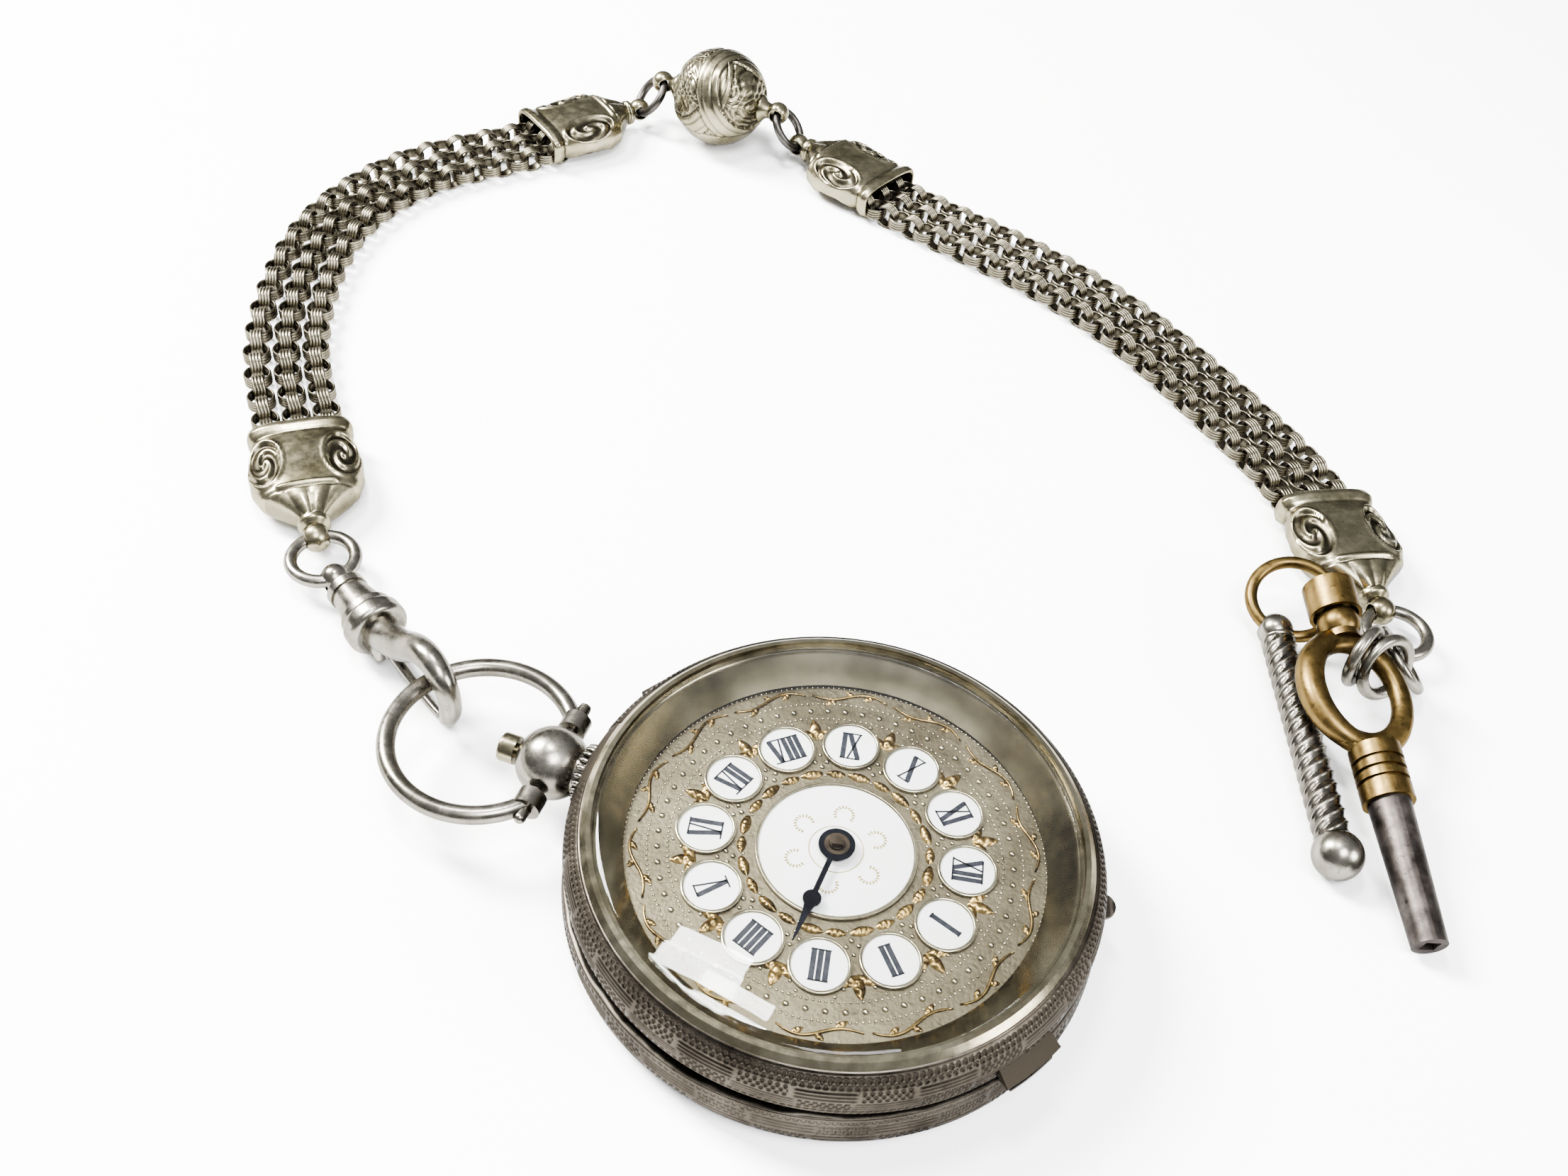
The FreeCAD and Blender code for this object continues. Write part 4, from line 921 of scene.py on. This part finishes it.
CAP_LINE = (    # along the cap, half width, half height, squareness of the section
    (1.1, 0.95, 0.95, 2.0), (1.5, 1.5, 1.5, 2.0), (2.0, 1.6, 1.55, 2.0), (2.2, 1.25, 1.2, 2.0),
    (3.0, 2.0, 1.6, 2.1), (4.2, 3.3, 2.0, 2.3), (5.4, 4.7, 2.25, 2.4), (7.0, 5.35, 2.33, 2.5),
    (9.4, 5.5, 2.33, 2.5), (11.6, 5.2, 2.25, 2.6), (13.2, 4.7, 2.0, 2.8), (13.6, 4.65, 1.9, 3.0),
    (13.9, 4.95, 2.05, 3.2), (14.5, 5.15, 2.25, 3.4), (15.1, 5.05, 2.15, 3.4), (15.3, 4.8, 1.9, 3.4),
)
CAP_MOUTH = (   # the hollow that takes the strands, in the same order
    (15.2, 4.55, 1.65, 3.4), (14.6, 4.45, 1.55, 3.4), (12.2, 4.4, 1.5, 3.4), (12.0, 0.4, 0.3, 3.4),
)
CAP_ROWS = 130
CAP_SIDES = 160
OVAL_AT = (9.5, 3.72)       # along and across
OVAL_HALF = (3.3, 1.7)
RING_1_R = 2.95             # ring_1 turns about its own centre, and the cap's knuckle is on its wire
RING_1_TO_CAP = 118
CAPS = {    # knuckle, direction of the ring's wire through it, direction of the cap
    "cap_1": (joint_at("cap_1_turn") + polar(RING_1_R, RING_1_TO_CAP), polar(1, RING_1_TO_CAP + 90), 112),
    "cap_2": (joint_at("ring_2_tilt"), joint_axis("ring_2_tilt"), 219),
    "cap_3": (joint_at("cap_3_tilt"), joint_axis("cap_3_tilt"), -37),
    "cap_4": (joint_at("ring_6_tilt"), joint_axis("ring_6_tilt"), 103),
}


def cap_relief(x, y, face):
    """How proud and how dark the cap's face is: a smooth waisted plate between two scrolled ovals."""
    oval_x = (x - OVAL_AT[0]) / OVAL_HALF[0]
    oval_y = (np.abs(y) - OVAL_AT[1]) / OVAL_HALF[1]
    reach = np.sqrt(oval_x ** 2 + oval_y ** 2)
    turn = np.arctan2(oval_y, oval_x)
    inside = (1 - smooth_step(reach, 0.86, 1.0)) * face
    scroll = 0.5 + 0.5 * np.cos(2 * turn + 11 * reach)
    scroll = np.maximum(scroll ** 2, bump(reach, 0.22))
    rim = bump(reach - 1.04, 0.14) * face
    waist = bump(np.maximum(np.abs(y) - 2.7, 0), 0.3)
    plate_end = bump(x - 5.5, 0.4) * waist * face
    notch = bump(x - 5.05, 0.2) * waist * face
    fan = np.where((x > 2.2) & (x < 5.0), np.abs(np.sin(1.6 * y / (0.22 * x))), 0) * face
    seam = bump(x - 13.55, 0.22)
    fan_ground = (1 - fan) * (x < 5) * (x > 2.3)
    proud = -0.42 * inside * (1 - 0.75 * scroll) + 0.16 * rim + 0.22 * plate_end - 0.12 * notch
    proud = proud + 0.16 * fan
    dark = inside * (0.9 - 0.8 * scroll) + 0.7 * notch + 0.5 * seam + 0.45 * fan_ground
    return proud, np.clip(dark, 0, 1)


def end_cap(node, knuckle, ring_tangent, angle):
    """A pillow-shaped cap, hollow at its mouth, with its neck and bored knuckle."""
    line = np.array(CAP_LINE)
    along = np.linspace(line[0, 0], line[-1, 0], CAP_ROWS)
    skin = np.stack([along] + [np.interp(along, line[:, 0], line[:, k]) for k in (1, 2, 3)], 1)
    along, half_w, half_h, square = np.concatenate([skin, CAP_MOUTH]).T[..., None]
    turn = round_turn(CAP_SIDES)[None, :]
    power = 2 / square
    y = half_w * np.sign(np.cos(turn)) * np.abs(np.cos(turn)) ** power
    z = half_h * np.sign(np.sin(turn)) * np.abs(np.sin(turn)) ** power
    x = along + 0 * turn
    outside = (np.arange(len(along)) < CAP_ROWS)[:, None]
    face = smooth_step(np.abs(z) / half_h, 0.15, 0.5) * outside
    proud, dark = cap_relief(x, y, face)
    dark = np.where(outside, dark, 0.9)
    z = z + np.sign(z) * proud
    z = np.maximum(z, 0.06 - CAP_Z)
    place = frame_of(knuckle, angle)
    parts = Parts()
    parts.add(place(np.stack([x, y, z], -1)), grid_faces(len(along), CAP_SIDES, wrap_columns=True), dark)
    bored_bead(parts, knuckle, ring_tangent)
    obj = parts.make(node + "_relief", GILT_SILVER, body_of(node))
    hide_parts(node)


for cap, cap_place in CAPS.items():
    end_cap(cap, *cap_place)


# ---------------------------------------------------------------- ball of the chain
BALL_JOINTS = ("ball_tilt", "ring_3_tilt")      # at its left and right knuckles
BALL_NECK = (   # radius, distance from the ball's centre
    (0.2, 5.4), (1.75, 5.6), (1.7, 6.0), (1.1, 6.5), (0.95, 7.0), (0.4, 7.2),
)
BALL_ROWS = 150
BALL_SIDES = 260
BALL_JOINT = -0.42      # height of the joint line, as a share of the radius
BALL_BANDS = (100, 220, 340)    # directions that the three bands' planes lean towards


def ball_relief(direction):
    """Three smooth bands that cross near the top, on engraved ground, with a joint line low down."""
    x, y, z = direction[..., 0], direction[..., 1], direction[..., 2]
    ground = np.sin(17 * x + 5 * np.sin(9 * z)) * np.sin(15 * y + 6 * np.sin(11 * x + 4 * z))
    dark = 0.75 * smooth_step(-ground, -0.1, 0.45)
    proud = 0.1 * ground - 0.06
    for towards in BALL_BANDS:
        normal = np.array([math.cos(math.radians(towards)), math.sin(math.radians(towards)), 0.55])
        offset = direction @ (normal / np.linalg.norm(normal)) - 0.52
        band = 1 - smooth_step(np.abs(offset), 0.17, 0.2)
        edge = bump(np.abs(offset) - 0.21, 0.035)
        groove = bump(np.abs(offset) - 0.085, 0.03) * band
        proud = np.where(band > 0.5, 0.14 - 0.09 * groove, proud - 0.1 * edge)
        dark = np.where(band > 0.5, 0.7 * groove, np.maximum(dark, 0.95 * edge))
    joint = bump(z - BALL_JOINT, 0.035)
    skirt = smooth_step(-z, -BALL_JOINT, 0.05 - BALL_JOINT)
    proud = proud * (1 - skirt) - 0.12 * joint
    return proud, np.clip(np.maximum(dark * (1 - skirt), 0.95 * joint), 0, 1)


def chain_ball():
    """The chased ball with a neck and a bored knuckle on each side."""
    rise = np.linspace(-0.5 * math.pi, 0.5 * math.pi, BALL_ROWS)[:, None]
    turn = round_turn(BALL_SIDES)[None, :]
    direction = np.stack([np.cos(rise) * np.cos(turn), np.cos(rise) * np.sin(turn),
                          np.sin(rise) + 0 * turn], -1)
    proud, dark = ball_relief(direction)
    left, right = (joint_at(name) for name in BALL_JOINTS)
    centre = (left + right) / 2
    place = frame_of(centre, math.degrees(math.atan2(right.y - left.y, right.x - left.x)))
    parts = Parts()
    parts.add(place(direction * (CHAIN_BALL_R - 0.1 + proud)[..., None]),
              grid_faces(BALL_ROWS, BALL_SIDES, wrap_columns=True), dark)
    for name in BALL_JOINTS:
        bored_bead(parts, joint_at(name), joint_axis(name))
        points, faces = revolved_grid(BALL_NECK, centre, joint_at(name) - centre)
        parts.add(points, faces)
    obj = parts.make("chain_ball_relief", GILT_SILVER, "ball")
    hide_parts("chain_ball")


chain_ball()


# ---------------------------------------------------------------- T-bar
T_BAR_BALL = Vector((42.4, 8.3, 2.25))
T_BAR_BALL_R = 2.2
T_BAR_EYE_R = 1.7
T_BAR_EYE_BORE = 0.9
STRANDS = 4
TWIST_LEAD = 5.4            # length in which a strand goes round once
ROD_STEPS = 420
ROD_SIDES = 72


def t_bar():
    """A rod of twisted strands with polished ridges, a ball and a bored eye."""
    eye = joint_at("t_bar_turn")
    axis = (eye - T_BAR_BALL).normalized()
    rod_start = 1.5
    rod_end = (eye - T_BAR_BALL).length - 1.5
    parts = Parts()
    along = np.linspace(rod_start, rod_end, ROD_STEPS)[None, :]
    points, faces = revolved_grid([(T_BAR_R, s) for s in along[0]], T_BAR_BALL, axis, ROD_SIDES)
    around = np.arange(ROD_SIDES)[:, None] / ROD_SIDES
    phase = STRANDS * (around - along / TWIST_LEAD)
    ridge = bump((phase % 1) - 0.5, 0.17)
    strand = np.abs(np.sin(math.pi * phase)) ** 0.7
    radius = T_BAR_R * (0.84 + 0.1 * strand) + 0.12 * ridge
    centre_line = np.array(T_BAR_BALL) + along[..., None] * np.array(axis)
    points = centre_line + (points - centre_line) * (radius / T_BAR_R)[..., None]
    parts.add(points, faces, 0.8 * (1 - ridge) * (1 - 0.35 * strand))
    ball = [(T_BAR_BALL_R * math.sin(a), T_BAR_BALL_R * math.cos(a)) for a in np.linspace(0, math.pi, 40)]
    points, faces = revolved_grid(ball, T_BAR_BALL, axis, 48)
    parts.add(points, faces)
    neck = [(0.3, -0.2), (T_BAR_R, -0.1), (T_BAR_R, 0.3), (1.1, 0.7), (0.5, 0.8)]
    points, faces = revolved_grid([(r, rod_end + s) for r, s in neck], T_BAR_BALL, axis, 40)
    parts.add(points, faces)
    bored_bead(parts, eye, joint_axis("t_bar_turn"), T_BAR_EYE_R, T_BAR_EYE_BORE)
    obj = parts.make("t_bar_twisted", SILVER, "t_bar")
    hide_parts("t_bar")


t_bar()


# ---------------------------------------------------------------- key and pendant
KEY_TIP = Vector((48.75, 0.6, 1.75))
KEY_AXIS = Vector((-0.118, 0.988, 0.142)).normalized()
KEY_ROLL = 5.7
KEY_LOOP_AT = 24.1
KEY_LOOP = (4.25, 5.5)      # half width and half length of the loop's centre line
KEY_LOOP_ASIDE = 0.15
KEY_LOOP_WIRE = 0.95
KEY_LOOP_SWELL = 0.4


def key_loop():
    """The worn, thicker left side of the key's loop, over the even wire of the CAD part."""
    side = KEY_AXIS.cross(Vector((0, 0, 1))).normalized()
    side = Matrix.Rotation(math.radians(KEY_ROLL), 3, KEY_AXIS) @ side
    face = side.cross(KEY_AXIS)
    centre = KEY_TIP + KEY_AXIS * KEY_LOOP_AT - side * KEY_LOOP_ASIDE
    path = []
    radii = []
    for k in range(61):
        a = math.radians(90 + 3 * k)
        swell = math.sin(math.radians(3 * k)) ** 1.3
        path.append(centre + side * math.cos(a) * (KEY_LOOP[0] + 0.1 * swell)
                    + KEY_AXIS * math.sin(a) * KEY_LOOP[1] + face * 0.15 * swell)
        radii.append(KEY_LOOP_WIRE - 0.04 + KEY_LOOP_SWELL * swell)
    parts = Parts()
    bar(parts, path, radii, 24)
    parts.make("key_loop_swell", KEY_BRASS, "key")


key_loop()


COLLAR_RIBS = 22
COLLAR_R = 2.33         # radius of the circle of ribs round the pendant's neck
COLLAR_AT = 21.0        # where the ribs start, from the case axis


def pendant_collar():
    """A ring of bright ribs where the pendant meets the case."""
    parts = Parts()
    outward = polar(1, PENDANT_ANGLE)
    across = polar(1, PENDANT_ANGLE - 90)
    for i in range(COLLAR_RIBS):
        a = 2 * math.pi * i / COLLAR_RIBS
        offset = (across * math.cos(a) + Vector((0, 0, 1)) * math.sin(a)) * COLLAR_R
        start = polar(COLLAR_AT, PENDANT_ANGLE, PENDANT_Z) + offset
        bar(parts, [start, start + outward * 0.35, start + outward * 0.7], [0.2, 0.27, 0.18], 8)
    parts.make("pendant_ribs", SILVER, "case")


pendant_collar()


# ---------------------------------------------------------------- stage, light and camera
def area_light(name, place, target, size, power, colour, turn=0.0):
    data = bpy.data.lights.new(name, "AREA")
    data.shape = "RECTANGLE"
    data.size, data.size_y = (s * MM for s in size)
    data.energy = power
    data.color = colour
    obj = bpy.data.objects.new(name, data)
    bpy.context.scene.collection.objects.link(obj)
    obj.location = Vector(place) * MM
    away = (Vector(place) - Vector(target)).normalized()
    aim = away.to_track_quat("Z", "Y").to_matrix() @ Matrix.Rotation(math.radians(turn), 3, "Z")
    obj.rotation_euler = aim.to_euler()


def floor():
    """A wide pale table under the watch."""
    look = Look("pale_table")
    look.set(roughness=0.55)
    pale = look.ramp(look.noise(0.01, 3), (0.3, (0.86, 0.865, 0.87)), (0.7, (0.9, 0.9, 0.9)))
    look.link(pale, look.shader.inputs["Base Color"])
    signs = np.array([(-1, -1), (1, -1), (1, 1), (-1, 1)])
    corners = np.column_stack([signs * TABLE_HALF, np.full(4, TABLE_Z)]) * MM
    mesh = bpy.data.meshes.new("table_top")
    mesh.from_pydata(corners.tolist(), [], [[0, 1, 2, 3]])
    mesh.materials.append(look.material)
    obj = bpy.data.objects.new("table_top", mesh)
    bpy.context.scene.collection.objects.link(obj)


def world():
    """Dim grey room, darker towards the horizon, so that metal has something to mirror."""
    scene_world = bpy.data.worlds.new("studio")
    bpy.context.scene.world = scene_world
    scene_world.use_nodes = True
    tree = scene_world.node_tree
    split = tree.nodes.new("ShaderNodeSeparateXYZ")
    ramp = tree.nodes.new("ShaderNodeValToRGB")
    tree.links.new(tree.nodes.new("ShaderNodeTexCoord").outputs["Generated"], split.inputs["Vector"])
    tree.links.new(split.outputs["Z"], ramp.inputs["Fac"])
    tree.links.new(ramp.outputs["Color"], tree.nodes["Background"].inputs["Color"])
    low, high = ramp.color_ramp.elements
    low.position = 0.0
    low.color = (0.12, 0.12, 0.12, 1)
    high.position = 0.9
    high.color = (0.9, 0.93, 0.97, 1)
    tree.nodes["Background"].inputs["Strength"].default_value = 1.1


def camera():
    forward = Vector(CAMERA_FORWARD).normalized()
    level = Vector((1, 0, 0))
    up = level.cross(forward)
    roll = math.radians(CAMERA_ROLL)
    right = level * math.cos(roll) + up * math.sin(roll)
    top = right.cross(forward)
    data = bpy.data.cameras.new("camera")
    data.lens = CAMERA_LENS
    data.sensor_width = 36
    data.clip_start = 0.005
    obj = bpy.data.objects.new("camera", data)
    bpy.context.scene.collection.objects.link(obj)
    turn = Matrix((right, top, -forward)).transposed()
    obj.matrix_world = Matrix.Translation(Vector(CAMERA_AT) * MM) @ turn.to_4x4()
    bpy.context.scene.camera = obj


WHITE = (1.0, 0.99, 0.97)

floor()
world()
area_light("window", (-400, 220, 400), (0, 40, 0), (170, 260), 42.0, (1.0, 0.985, 0.95))
area_light("overhead", (90, -230, 560), (0, 40, 0), (240, 240), 13.0, (0.97, 0.98, 1.0))
area_light("fill", (420, -160, 260), (0, 20, 0), (200, 200), 7.0, WHITE)
area_light("pane_far", (-92, 106, 420), (-92, 106, 0), (84, 22), 2.6, WHITE, -27)
area_light("pane_near", (-62, 62, 420), (-62, 62, 0), (76, 16), 1.7, WHITE, -27)
camera()
